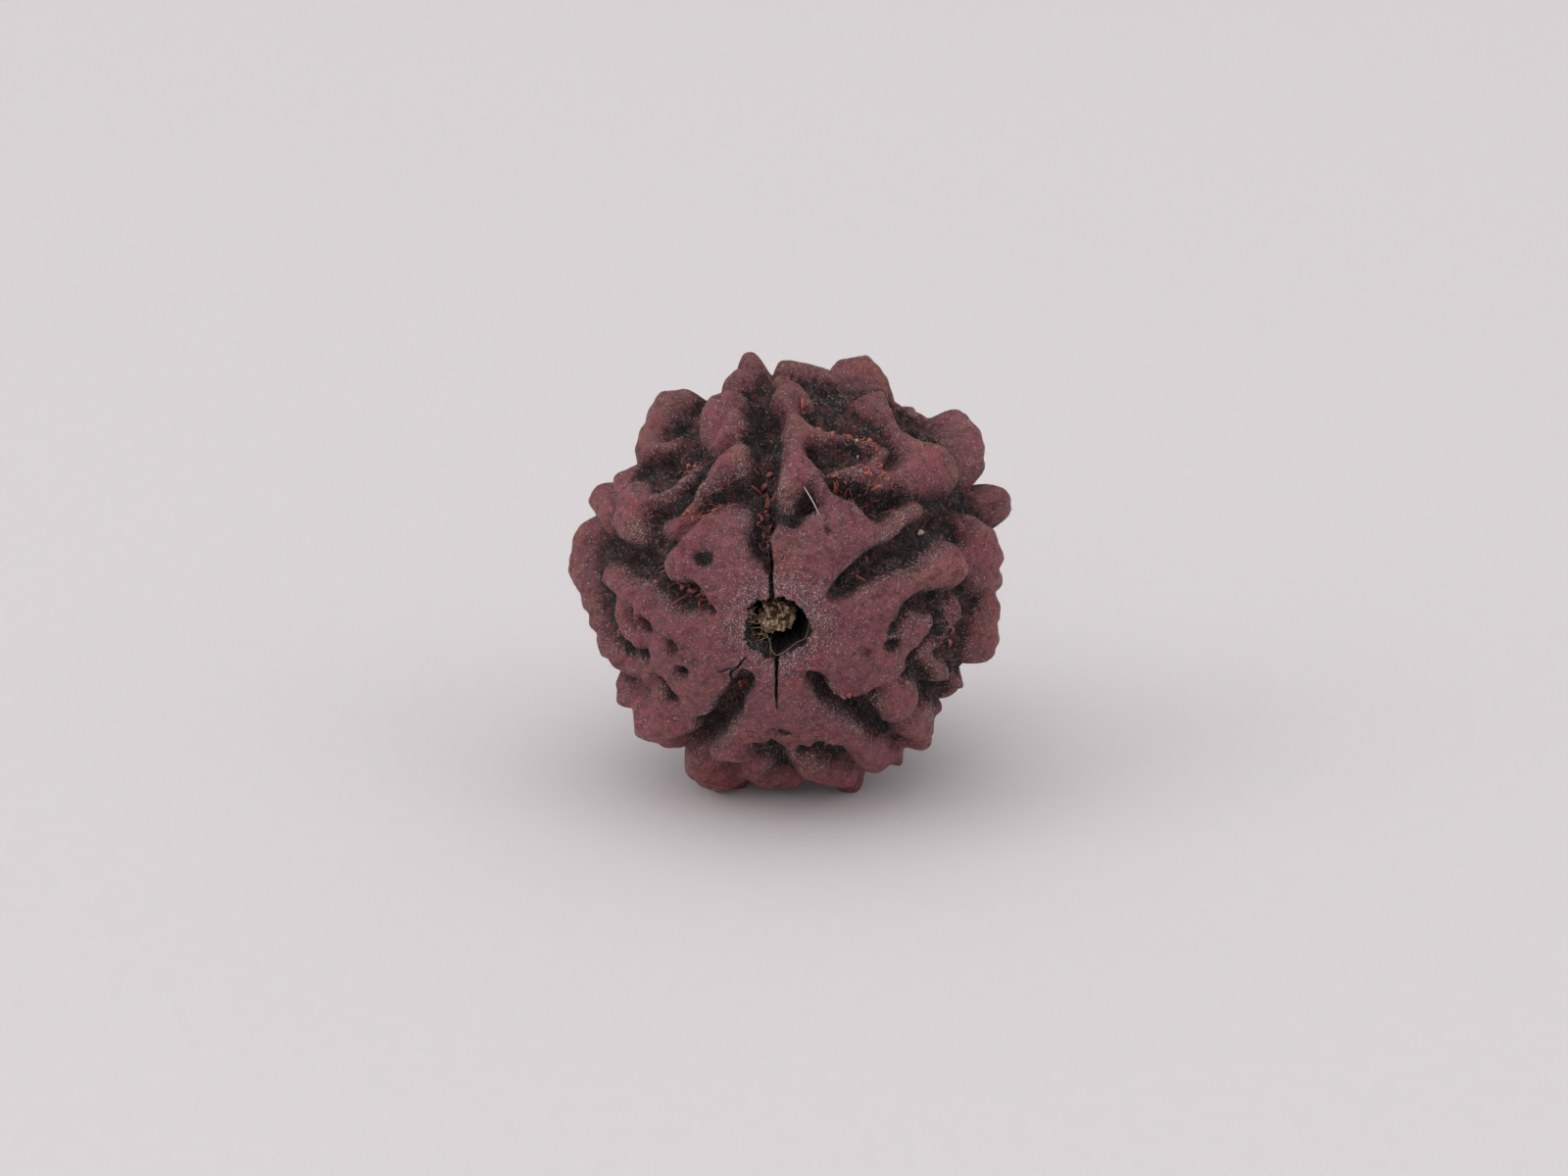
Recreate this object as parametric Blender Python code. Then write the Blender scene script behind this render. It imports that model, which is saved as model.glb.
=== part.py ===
"""Rudraksha seed: the dried woody stone of the fruit, with five furrows, lying on its side.

The stone is modelled in millimetres round its own axis: +Z of that inner frame points out of the pore,
longitude 0 is +X and longitude 90 is +Y. A place on the stone is a pair of angles in degrees: the
longitude, and the polar angle from the pore. At the end the whole stone is laid down, with the pore
facing -Y and tipped up a little, and turned into metres.
"""

import math

import bmesh
import bpy
import numpy as np

MM = 0.001

# The stone as a whole
FACES = 5
EQUATOR_RADIUS = 10.4
POLE_RADIUS = 9.9
MEAN_RADIUS = 10.2
CENTRE_HEIGHT = 10.6
CENTRE_SHIFT = (0.101, -0.045)
PORE_TIPPED_UP = 5.0

# The relief, measured from the rounded outline of the stone: valleys lie at FLOOR
FLOOR = -1.15
FLOOR_BY_THE_PORE = -0.8
FLOOR_SINKS_FROM = 18.0
FLOOR_SINKS_TO = 42.0
FLOOR_UNEVEN = 0.1
FLOOR_UNEVEN_WAVELENGTH = 1.8
FLOOR_UNEVEN_SEED = 21
BLEND = 0.1
DOME_WIDTH = 0.86
DOME_ROUND_TO = 0.85
DOME_ROUNDNESS = 1.1
DOME_FOOT = 1.45
DOME_REACH = DOME_WIDTH * DOME_FOOT
RUN_STEPS = 3
SWOLLEN_FROM = 0.15
SWOLLEN_WIDTH = 1.7
SWOLLEN_POWER = 4.0
CAP_SHOULDER = 0.48
CAP_SPREAD = 0.24
WANDER = 0.16
WANDER_WAVELENGTH = 2.6
WANDER_SEEDS = (11, 12, 13)
SWELL = 0.07
SWELL_WAVELENGTH = 4.0
SWELL_SEED = 31

# The walls of a furrow: they rise from WALL_FOOT times its half width, over WALL_RUN times it
FURROW_REACH = 1.6
WALL_FOOT = 0.62
WALL_RUN = 0.5
WALL_CURVE = 1.5
WALL_TOP = 0.9
RIM_BLEND = 0.09

# The canal, from the pore to the smaller opening at the far end
PORE_HALF_WIDTH = 1.64
PORE_HALF_HEIGHT = 1.46
PORE_DROP = 0.06
CANAL_RADIUS = 1.15
CANAL_NARROWS_TO = 0.75
FAR_PORE_RADIUS = 0.8
PORE_LIP_SHARE = 0.25
FAR_LIP_SHARE = 0.15

# The pith that stands in the pore
PITH_CENTRE = (-0.2, 0.16)
PITH_HEAD_RADIUS = 0.88
PITH_FOOT_RADIUS = 0.66
PITH_TOP = 9.35
PITH_FOOT = 5.4
PITH_SHOULDER = 0.22
PITH_TIP_SHARE = 0.5
PITH_STRAIGHTENS = 0.8
PITH_CRUMBLE = 0.06
PITH_GRAIN = 0.9
PITH_SEED = 41

# How finely the stone is first drawn, and the share of its faces that is kept
COLUMNS = 250
OUTER_ROWS = 132
CANAL_ROWS = 14
KEPT_SHARE = 0.042
PITH_COLUMNS = 16
PITH_ROWS = 11

# The smooth cap round the pore: its edge runs out along the five petals and back into each furrow
CAP_EDGE = [
    (303, 18.5), (308.5, 25), (313, 29), (319, 31.5), (320, 35), (323, 38), (330, 42), (335, 41.5),
    (341, 40), (345, 43.5), (350, 46), (354, 46.5), (358, 45.5), (1, 41), (4, 38.5), (10, 39),
    (18.5, 41), (21.5, 38), (22, 34), (25, 28.5), (24, 22), (25, 17.5), (31, 18.5), (36.5, 23.5),
    (36.5, 27.5), (35.5, 31.5), (36.2, 36), (36.8, 41), (39.5, 45.5), (42.5, 44.2), (46.5, 41.5),
    (50.4, 40.4), (57.7, 40.1), (64, 40.9), (69, 41.8), (69.5, 39.5), (67.2, 36.5), (70, 33.5),
    (75, 30), (80, 28), (86, 27.8), (91, 26.5), (92.5, 24), (95.5, 19.5),
    (97.5, 16), (106, 15.5), (111, 19.5), (107.5, 25), (106.8, 31.5), (110, 34.3), (115.5, 36),
    (121.5, 36.6), (131, 37.6), (140, 38.6), (149, 39.5), (157, 40.3), (159.8, 38.5), (160.5, 34.5),
    (161.5, 29), (163, 24), (167, 20.5), (172, 18.5), (178.5, 20.5), (180, 26), (177.5, 32.5),
    (175, 38), (172.5, 43), (178, 47), (186, 46), (194, 45), (203, 43), (210, 47), (216, 43),
    (219, 42), (222, 47), (226, 50), (232, 49), (236, 46), (235, 38), (233, 30), (233, 24.5),
    (239, 19.5), (246.5, 20), (250.5, 27), (249.8, 33), (248.5, 41), (250, 45), (258, 43), (264, 40),
    (270, 43), (277, 42), (283, 42), (290, 42.5), (294, 47), (299, 47), (299.5, 44), (298, 38),
    (298, 31.5), (295, 26), (295, 20), (299, 17.8),
]
RIDGES_UPPER_LEFT = [
    [(105, 48, 1.0, 0.12), (110, 48.5, 1.1, 0.18), (116, 46, 0.7, 0.0), (122, 43.8, 0.45, -0.15),
     (127, 42.5, 0.35, -0.3)],
    [(112.5, 58.5, 0.55, -0.15), (107.5, 62, 0.9, 0.12), (105, 65.5, 0.7, 0.1)],
    [(116.5, 63, 0.55, -0.15), (114, 69, 1.05, 0.2), (110.5, 75, 1.15, 0.3)],
    [(105, 86, 0.8, 0.35)],
    [(103.5, 96, 0.9, 0.75)],
    [(121.5, 90, 0.7, 0.3), (127, 88, 0.95, 0.6), (132, 83, 1.1, 0.42), (137, 77, 0.95, 0.15)],
    [(134, 72, 0.7, -0.1), (128, 67, 0.55, -0.45)],
    [(143, 43, 0.62, -0.15), (136, 42, 0.62, -0.15), (129, 41, 0.45, -0.25)],
    [(121, 53, 0.45, -0.55), (128, 53, 0.5, -0.5), (132, 51, 0.45, -0.3)],
    [(130, 49.5, 0.36, -0.3), (137, 51, 0.4, -0.15), (143, 55, 0.5, 0.0), (149, 62, 1.0, 0.2)],
    [(149, 62, 1.15, 0.25), (155, 58, 1.3, 0.25), (160, 54, 1.0, 0.05)],
    [(148, 75, 1.0, 0.05), (150, 68, 0.8, -0.1)],
    [(158, 80, 0.95, 0.6), (159, 70, 1.0, 0.1)],
]
RIDGES_UPPER_RIGHT = [
    [(91, 71, 0.78, 0.25), (90, 65, 0.55, 0.0), (88, 60, 0.8, 0.1), (86, 54, 0.7, 0.0),
     (86, 47, 0.95, 0.1)],
    [(88, 61, 0.6, 0.0), (82, 60, 0.6, -0.1)],
    [(86.5, 37.5, 1.1, 0.15), (86, 42, 1.2, 0.15), (80, 44.5, 1.0, 0.08), (74, 43, 0.75, 0.0),
     (69.5, 41, 0.6, -0.05)],
    [(41, 40, 0.95, 0.0), (38.5, 47, 0.75, 0.12), (37.5, 53, 0.7, 0.05)],
    [(70.5, 47.5, 0.48, -0.1), (62.5, 49, 0.58, -0.1), (56.5, 50.8, 0.58, -0.1), (51.5, 52.5, 0.5, -0.15),
     (49.5, 57.5, 0.38, -0.35)],
    [(57.5, 51, 0.5, -0.12), (56, 62, 0.36, -0.4)],
    [(80, 59, 0.5, -0.25), (74.6, 59.5, 0.48, -0.3), (69, 60.5, 0.48, -0.35), (63.6, 61.5, 0.45, -0.4),
     (59.5, 62.5, 0.4, -0.5)],
    [(74, 69, 0.36, -0.65), (68, 68, 0.36, -0.6), (63, 67, 0.36, -0.65)],
    [(67, 79, 1.1, 0.35), (62, 74, 0.75, 0.15), (57, 70, 0.6, 0.0), (51, 69, 0.6, 0.05),
     (46, 70, 0.85, 0.2)],
    [(46, 57, 0.7, -0.15), (45, 63, 1.0, 0.15), (42, 70, 1.3, 0.35), (38, 74, 1.0, 0.25)],
    [(78, 98, 0.7, 0.5), (73, 98, 0.95, 1.0), (68, 96, 0.85, 0.6), (64, 93, 0.6, -0.2)],
    [(93, 93, 0.7, 0.2), (86, 92, 0.75, 0.15), (79, 91, 0.7, 0.0)],
    [(92, 82, 0.65, 0.0), (87, 75, 0.42, -0.3), (82, 69, 0.4, -0.4)],
    [(45, 98, 0.65, 1.0), (40, 96, 0.95, 1.1), (35.5, 92, 1.05, 1.1), (31.5, 86, 0.9, 0.7)],
    [(60, 96, 0.8, -0.7), (52, 96, 0.8, -0.5)],
    [(18.5, 91, 0.6, 0.55), (21, 92, 0.8, 1.0), (24.5, 93, 0.7, 0.5),
     (27, 93, 0.5, 0.1)],
]
RIDGES_RIGHT = [
    [(3, 25, 0.55, 0.0), (8, 31.5, 0.75, 0.12), (11.5, 38, 0.85, 0.18), (14, 45, 0.95, 0.2),
     (14, 53, 1.2, 0.28), (14, 58, 1.0, 0.2)],
    [(355, 41, 1.0, 0.02), (354, 44, 0.8, 0.0)],
    [(322, 33, 0.6, 0.03)],
    [(323, 43, 0.95, 0.05), (320, 48.5, 1.35, 0.25), (315.5, 46, 0.9, 0.1)],
    [(315, 62, 1.2, 0.1), (315, 73, 1.05, 0.35), (319, 76, 0.8, -0.25)],
    [(310, 77, 0.95, 0.65)],
    [(357, 57, 1.05, -0.35), (350, 55, 0.7, -0.6), (2, 51, 0.55, -0.7)],
    [(0, 83, 0.95, 0.15), (4, 72, 0.9, -0.2)],
    [(354, 79, 1.0, 0.3), (346, 75, 1.2, 0.45), (341, 75, 0.8, 0.4)],
    [(330.5, 75, 0.5, 0.1), (333, 66, 0.5, -0.2)],
    [(339, 52, 0.6, -0.35), (335, 59, 0.7, -0.2)],
    [(341, 47, 0.42, -0.4), (346, 50, 0.5, -0.45)],
    [(20, 71, 1.0, 0.1), (14.5, 74, 1.35, 0.35), (8, 78, 1.15, 0.3)],
    [(11, 66, 0.6, -0.3)],
]
RIDGES_BELOW = [
    [(252, 28, 0.6, 0.0), (251, 38, 0.85, 0.05), (250, 46, 1.05, 0.12), (251, 55, 1.3, 0.3)],
    [(258, 42, 0.5, 0.0), (265, 40.5, 0.5, -0.1), (272, 43.5, 0.55, -0.12), (277, 42, 0.4, -0.15),
     (281, 43.5, 0.5, -0.12), (285, 41, 0.45, -0.1)],
    [(291, 30, 0.8, 0.02), (293, 38, 0.9, 0.06), (296, 46, 0.75, 0.1), (298.5, 55, 0.8, 0.2),
     (299, 64, 0.9, 0.5), (297, 72, 1.0, 0.6)],
    [(272, 49, 0.45, -0.3), (276, 57, 0.8, 0.0), (280, 65, 1.0, 0.3), (286, 71, 1.1, 0.65)],
    [(241, 66, 0.9, 0.8), (247, 72, 1.2, 1.15), (253, 76, 1.1, 1.1)],
    [(263, 58, 0.6, -0.25), (260, 70, 0.9, 0.35), (266, 74, 0.9, 0.3), (273, 75, 0.9, 0.25)],
    [(303, 75, 0.9, 0.65)],
]
RIDGES_LEFT = [
    [(184, 27, 0.7, 0.0), (180, 38, 0.8, 0.05), (176.5, 48, 0.95, 0.1), (174.5, 59, 1.05, 0.15)],
    [(169, 82, 1.1, 0.5), (175, 84, 1.35, 0.65), (182, 80, 1.25, 0.5)],
    [(184, 54, 0.7, -0.15), (192, 52, 0.7, -0.2), (197, 47, 0.7, -0.15)],
    [(188, 75, 1.0, 0.35), (193, 67, 0.8, 0.0)],
    [(198, 69, 1.0, 0.15), (204, 65, 0.95, 0.15), (206, 54, 0.7, -0.2)],
    [(211, 50, 0.8, -0.2), (212, 60, 0.7, -0.5)],
    [(215, 71, 0.7, 0.6), (220, 60, 0.6, 0.0)],
    [(226, 36, 1.2, 0.02), (226, 46, 1.2, 0.08), (226.5, 57, 1.5, 0.5), (226, 67, 1.35, 0.95),
     (231.5, 68, 1.1, 0.5)],
]

# Furrows, each a run of (longitude, polar angle, half width, floor) from its inner end outwards
FURROWS = [
    [(28, 18, 0.35, -0.6), (29.5, 22, 0.5, -1.1), (30.4, 26.5, 0.56, -1.4), (31.2, 32, 0.58, -1.7),
     (31.5, 38, 0.6, -1.8), (30.3, 45, 0.6, -1.8), (27.5, 52, 0.6, -1.8), (27.5, 60, 0.6, -1.8),
     (28, 66, 0.54, -1.7), (28, 74, 0.4, -1.4), (29, 84, 0.25, -0.7)],
    [(104, 16.5, 0.3, -0.8), (103, 20.5, 0.48, -1.3), (100.5, 26, 0.66, -1.6), (99.3, 33, 0.72, -1.7),
     (98.4, 40, 0.76, -1.8), (97.4, 50, 0.74, -1.8), (97.5, 60, 0.68, -1.8), (98.6, 70, 0.6, -1.7),
     (99, 80, 0.46, -1.4), (97, 96, 0.3, -0.65)],
    [(172, 19.5, 0.35, -0.9), (171, 23, 0.58, -1.3), (169.5, 28, 0.66, -1.6), (167.5, 33.5, 0.66, -1.7),
     (165, 38, 0.62, -1.8), (163, 43, 0.58, -1.8), (163.2, 48, 0.5, -1.8), (165.3, 55, 0.46, -1.7),
     (166.5, 64, 0.42, -1.6), (167.3, 73, 0.32, -1.0), (166, 84, 0.2, 0.5)],
    [(241, 20.5, 0.5, -0.9), (241.5, 24.5, 0.68, -1.4), (241.5, 32, 0.72, -1.7), (240.8, 39, 0.7, -1.8),
     (240, 46, 0.6, -1.8), (240, 52, 0.52, -1.6), (239.5, 60, 0.4, -1.1), (238.5, 70, 0.22, -0.2),
     (238, 84, 0.22, -0.3)],
    [(299.5, 18.5, 0.36, -0.8), (302, 24, 0.6, -1.4), (305, 30, 0.72, -1.7), (307.3, 36.5, 0.8, -1.8),
     (307, 43.5, 0.75, -1.8), (307, 50.5, 0.56, -1.7), (306, 58, 0.36, -1.2),
     (305.5, 66, 0.22, -0.3), (305, 82, 0.22, -0.3)],
]

# Pits and grooves sunk into whatever is there: runs of (longitude, polar angle, half width, depth)
HOLLOWS = [
    [(144, 28.5, 0.45, 0.5), (139, 27.5, 0.4, 0.45)],
    [(62, 30.5, 0.26, 0.35)],
    [(75, 36, 0.42, 0.45), (72, 35, 0.35, 0.35)],
    [(81, 54.5, 0.38, 0.9), (77, 52.5, 0.3, 0.5), (74, 50, 0.26, 0.3)],
    [(101, 42, 0.4, 0.5), (110, 41.5, 0.42, 0.6), (120, 40, 0.36, 0.5), (130, 38.7, 0.28, 0.4)],
    [(121, 83, 0.5, 0.4), (122, 78, 0.75, 0.65), (119.5, 72, 0.45, 0.4)],
    [(122, 58, 0.4, 0.4)],
    [(135, 67, 0.5, 0.5), (131.5, 60, 0.45, 0.45)],
    [(57, 85, 0.5, 0.5), (48, 79, 0.5, 0.7), (40, 79, 0.42, 0.7), (33, 76, 0.36, 0.6)],
    [(73, 46, 0.3, 0.4), (67, 45, 0.42, 0.6), (59.3, 45, 0.45, 0.7), (52.2, 46, 0.45, 0.7),
     (46, 48.5, 0.4, 0.7), (43.1, 54, 0.3, 0.4)],
    [(358, 33.5, 0.28, 0.5), (2, 38, 0.3, 0.55), (6, 43, 0.3, 0.5), (5, 49, 0.35, 0.5)],
    [(354.5, 34, 0.4, 0.55)],
    [(345.5, 34.5, 0.48, 0.65)],
    [(338.5, 28.3, 0.28, 0.3)],
    [(334, 23, 0.2, 0.15)],
    [(318, 52, 0.25, 0.15)],
    [(188, 41.5, 0.46, 0.75)],
    [(197, 33.3, 0.52, 0.7)],
    [(213, 32, 0.52, 0.7)],
    [(215, 45, 0.4, 0.65), (221, 46.5, 0.38, 0.75)],
    [(193, 58.5, 0.45, 0.4)],
    [(211, 78, 0.45, 0.5), (212, 92, 0.5, 0.6)],
    [(325, 78, 0.45, 0.4), (325, 92, 0.5, 0.5)],
    [(264, 36.5, 0.35, 0.25), (271, 36, 0.45, 0.4), (278, 37.5, 0.35, 0.3)],
    [(276, 49.5, 0.6, 0.5), (284, 50.5, 0.65, 0.6), (290, 51, 0.5, 0.5)],
]

# Where the drawn relief ends, a little behind the outline that the photo shows, and the rule for the
# hidden side takes over with lower knobs
DRAWN_TO = 94.0
DRAWN_TO_SWING = 15.0
DRAWN_TO_TURN = 18.0
LOWER_AT_START = 0.6
LOWER_OVER = 9.0

# The rule for the hidden side: rows of knobs down each face, joined by ridges
HIDDEN_SEED = 5
FIRST_FURROW = 24.0
FIRST_ROW = 66.0
LAST_ROW = 158.0
ROW_STEP = 15.5
KNOB_PITCH = 3.1
BORDER_INSET = 1.55
KNOB_SHIFT = 0.42
SHIFT_BY_A_FURROW = 0.3
ROW_SHIFT = 1.8
KNOB_RADIUS = (0.72, 1.2)
KNOB_TOP = (-0.1, 0.45)
RIDGE_HALF_WIDTH = (0.42, 0.6)
RIDGE_TOP = (-0.6, -0.15)
RUNG_CHANCE = 0.55
FURROW_HALF_WIDTH = 0.5
FURROW_FLOOR = -1.6
FURROW_STEP = 15.0
FURROW_RUNS_TO = 150.0
FURROW_TIP = (156.0, 0.3, -0.6)
FAR_CAP_EDGE = 165.0

# The three knobs that the stone lies on, and the gap that the rest keeps to the ground
FEET = [(255, 82, 1.15), (286, 82, 1.15), (270, 112, 1.3)]
FOOT_SUNK = 0.12
GROUND_CLEARANCE = 0.2
GROUND_SIDE = 40.0
OUT_OF_REACH = 9.0
FACES_DOWN_FROM = 0.5

WOOD_COLOUR = (0.125, 0.04, 0.042, 1.0)
WOOD_ROUGHNESS = 0.5
PITH_COLOUR = (0.34, 0.22, 0.14, 1.0)
PITH_ROUGHNESS = 0.95


def clear_scene():
    """Removes what a new Blender file holds."""
    for obj in list(bpy.data.objects):
        bpy.data.objects.remove(obj, do_unlink=True)


def material(name, colour, roughness):
    """A plain finish: colour and roughness on a Principled shader."""
    made = bpy.data.materials.new(name)
    made.use_nodes = True
    shader = made.node_tree.nodes["Principled BSDF"]
    shader.inputs["Base Color"].default_value = colour
    shader.inputs["Roughness"].default_value = roughness
    shader.inputs["Metallic"].default_value = 0.0
    made.diffuse_color = colour
    return made


def direction(lon, polar):
    """Unit vectors of the stone's own frame for angles in degrees."""
    lon = np.radians(np.asarray(lon, float))
    polar = np.radians(np.asarray(polar, float))
    return np.stack(
        [np.sin(polar) * np.cos(lon), np.sin(polar) * np.sin(lon), np.cos(polar)], axis=-1
    )


def angles(dirs):
    """Longitude and polar angle in degrees of unit vectors."""
    lon = np.degrees(np.arctan2(dirs[:, 1], dirs[:, 0])) % 360.0
    polar = np.degrees(np.arccos(np.clip(dirs[:, 2], -1.0, 1.0)))
    return lon, polar


def waves(points, wavelength, seed, count=28):
    """Smooth random heights with a spread of about 1: many plane waves in seeded directions."""
    rng = np.random.default_rng(seed)
    ways = rng.normal(size=(count, 3))
    ways /= np.linalg.norm(ways, axis=1)[:, None]
    pitch = wavelength * rng.uniform(0.7, 1.4, count)
    phase = rng.uniform(0.0, 2.0 * math.pi, count)
    turns = points @ (ways / pitch[:, None]).T * 2.0 * math.pi + phase
    return np.cos(turns).sum(axis=1) * math.sqrt(2.0 / count)


def outline_radius(dirs):
    """The rounded outline that the ridges reach: a spheroid, a little short along its axis."""
    along = dirs[:, 2]
    across = np.sqrt(np.maximum(0.0, 1.0 - along**2))
    return 1.0 / np.sqrt((along / POLE_RADIUS) ** 2 + (across / EQUATOR_RADIUS) ** 2)


def rounded_run(run):
    """A run with more points, on a smooth curve through the given ones."""
    if len(run) < 3:
        return run
    points = [run[0]]
    for knob in run[1:]:
        turn = round((points[-1][0] - knob[0]) / 360.0) * 360.0
        points.append((knob[0] + turn, *knob[1:]))
    points = np.array([points[0], *points, points[-1]], float)
    smooth = []
    for before, start, end, after in zip(points, points[1:], points[2:], points[3:]):
        for step in range(RUN_STEPS):
            share = step / RUN_STEPS
            curve = 2.0 * start + (end - before) * share
            curve += (2.0 * before - 5.0 * start + 4.0 * end - after) * share**2
            curve += (3.0 * start - before - 3.0 * end + after) * share**3
            smooth.append(tuple(curve / 2.0))
    return [*smooth, tuple(points[-1])]


def dome(share):
    """The profile of a knob or ridge: round on its crest, with a foot that runs out softly to 0."""
    out = share / DOME_WIDTH
    top = np.sqrt(1.0 - (np.minimum(out, DOME_ROUND_TO) / DOME_ROUNDNESS) ** 2)
    height = math.sqrt(1.0 - (DOME_ROUND_TO / DOME_ROUNDNESS) ** 2)
    run = DOME_FOOT - DOME_ROUND_TO
    slope = -DOME_ROUND_TO / DOME_ROUNDNESS**2 / height * run
    away = np.clip((out - DOME_ROUND_TO) / run, 0.0, 1.0)
    foot = height * (1.0 + 2.0 * away) * (1.0 - away) ** 2 + slope * away * (1.0 - away) ** 2
    return np.where(out < DOME_ROUND_TO, top, foot)


def nearest_on_run(dirs, run):
    """For each direction: its distance from a run as a share of the half width, and the level there."""
    corners = [direction(lon, polar) for lon, polar, _, _ in run]
    best = np.full(len(dirs), np.inf)
    level = np.zeros(len(dirs))
    pairs = list(zip(range(len(run)), range(1, len(run)))) or [(0, 0)]
    for first, second in pairs:
        step = corners[second] - corners[first]
        length = float(step @ step)
        share = np.zeros(len(dirs))
        if length > 0.0:
            share = np.clip((dirs - corners[first]) @ step / length, 0.0, 1.0)
        foot = corners[first] + share[:, None] * step
        foot /= np.linalg.norm(foot, axis=1)[:, None]
        gap = np.linalg.norm(dirs - foot, axis=1) * MEAN_RADIUS
        half_width = run[first][2] + share * (run[second][2] - run[first][2])
        here = gap / half_width
        nearer = here < best
        best = np.where(nearer, here, best)
        level = np.where(nearer, run[first][3] + share * (run[second][3] - run[first][3]), level)
    return best, level


def close_to_run(dirs, run, margin):
    """The indices of the directions that a run can reach, margin times its half width away."""
    corners = np.array([direction(lon, polar) for lon, polar, _, _ in run])
    middle = corners.mean(axis=0)
    middle /= np.linalg.norm(middle)
    spread = np.linalg.norm(corners - middle, axis=1).max()
    reach = spread + margin * max(half_width for _, _, half_width, _ in run) / MEAN_RADIUS
    return np.nonzero(np.linalg.norm(dirs - middle, axis=1) < reach)[0]


def cap_depth(dirs):
    """How far inside the edge of the cap each direction lies, in millimetres, less than 0 outside."""
    lon, polar = angles(dirs)
    turn = np.radians(lon)
    flat = np.stack([np.cos(turn), np.sin(turn)], axis=1) * (np.radians(polar) * MEAN_RADIUS)[:, None]
    edge = np.array(
        [
            (math.cos(math.radians(a)) * math.radians(b), math.sin(math.radians(a)) * math.radians(b))
            for a, b in CAP_EDGE
        ]
    ) * MEAN_RADIUS
    nearest = np.full(len(dirs), np.inf)
    inside = np.zeros(len(dirs), bool)
    for a, b in zip(edge, np.roll(edge, -1, axis=0)):
        step = b - a
        share = np.clip((flat - a) @ step / (step @ step), 0.0, 1.0)
        gap = np.linalg.norm(flat - a - share[:, None] * step, axis=1)
        nearest = np.minimum(nearest, gap)
        crosses = (a[1] > flat[:, 1]) != (b[1] > flat[:, 1])
        rise = step[1] if step[1] else 1e-9
        where = a[0] + (flat[:, 1] - a[1]) * step[0] / rise
        inside ^= crosses & (flat[:, 0] < where)
    return np.where(inside, nearest, -nearest)


def rounded(share):
    """0 to 1 with a round shoulder: a quarter of a circle."""
    share = np.clip(share, 0.0, 1.0)
    return np.sqrt(1.0 - (1.0 - share) ** 2)


def drawn_limit(lon):
    """The polar angle up to which the relief is drawn by hand at a longitude."""
    return DRAWN_TO + DRAWN_TO_SWING * math.sin(math.radians(lon + DRAWN_TO_TURN))


def between(rng, pair):
    """A seeded draw between two values."""
    return float(rng.uniform(*pair))


def hidden_runs():
    """Knobs and ridges of the side that doesn't show, by a seeded rule."""
    rng = np.random.default_rng(HIDDEN_SEED)
    runs = []
    for face in range(FACES):
        first_furrow = FIRST_FURROW + face * 360.0 / FACES
        rows = []
        for row in range(int((LAST_ROW - FIRST_ROW) / ROW_STEP) + 1):
            polar = FIRST_ROW + row * ROW_STEP
            around = math.radians(360.0 / FACES) * MEAN_RADIUS * math.sin(math.radians(polar))
            count = max(2, round((around - 2.0 * BORDER_INSET) / KNOB_PITCH) + 1)
            knobs = []
            for place in range(count):
                across = BORDER_INSET + (around - 2.0 * BORDER_INSET) * place / (count - 1)
                inner = 0 < place < count - 1
                across += rng.normal(0.0, KNOB_SHIFT * (1.0 if inner else SHIFT_BY_A_FURROW))
                lon = first_furrow + 360.0 / FACES * across / around
                staggered = ROW_STEP / 2.0 if inner and place % 2 else 0.0
                shifted = polar + staggered + rng.normal(0.0, ROW_SHIFT)
                knobs.append((lon, shifted, between(rng, KNOB_RADIUS), between(rng, KNOB_TOP)))
            rows.append(knobs)
        for above, below in zip(rows, rows[1:]):
            runs.append([slim(rng, above[0]), slim(rng, below[0])])
            runs.append([slim(rng, above[-1]), slim(rng, below[-1])])
            for knob in above[1:-1]:
                nearest = sorted(below, key=lambda other, knob=knob: abs(other[0] - knob[0]))
                for other in nearest[:2]:
                    if rng.random() < RUNG_CHANCE:
                        runs.append([slim(rng, knob), slim(rng, other)])
        for knobs in rows:
            runs.extend([knob] for knob in knobs)
            for left, right in zip(knobs, knobs[1:]):
                if rng.random() < RUNG_CHANCE:
                    runs.append([slim(rng, left), slim(rng, right)])
    hidden = [run for run in runs if all(polar > drawn_limit(lon) for lon, polar, _, _ in run)]
    return [[lowered(knob) for knob in run] for run in hidden]


def lowered(knob):
    """A knob of the hidden side, lower the closer it is to the drawn relief."""
    lon, polar, half_width, top = knob
    nearness = math.exp(-(polar - drawn_limit(lon)) / LOWER_OVER)
    return (lon, polar, half_width, top - LOWER_AT_START * nearness)


def slim(rng, knob):
    """The end of a ridge at a knob."""
    lon, polar, _, _ = knob
    return (lon, polar, between(rng, RIDGE_HALF_WIDTH), between(rng, RIDGE_TOP))


def furrow_runs():
    """The five furrows, each carried on to the far end."""
    runs = []
    for run in FURROWS:
        lon, polar, _, _ = run[-1]
        further = np.arange(polar + FURROW_STEP, FURROW_RUNS_TO, FURROW_STEP)
        ends = [(lon, place, FURROW_HALF_WIDTH, FURROW_FLOOR) for place in further]
        runs.append([*run, *ends, (lon, *FURROW_TIP)])
    return runs


def stone_frame():
    """The stone's own axes in the world: its pore looks towards -Y and is tipped up."""
    tip = math.radians(PORE_TIPPED_UP)
    right = (1.0, 0.0, 0.0)
    up = (0.0, math.sin(tip), math.cos(tip))
    pore = (0.0, -math.cos(tip), math.sin(tip))
    return np.array([right, up, pore])


def ground_height(dirs, depth):
    """The height over the rounded outline at which a direction reaches depth below the centre."""
    down = -(dirs @ stone_frame())[:, 2]
    reach = np.full(len(dirs), OUT_OF_REACH)
    lower = down > FACES_DOWN_FROM
    reach[lower] = depth / down[lower] - outline_radius(dirs[lower])
    return reach


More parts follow.
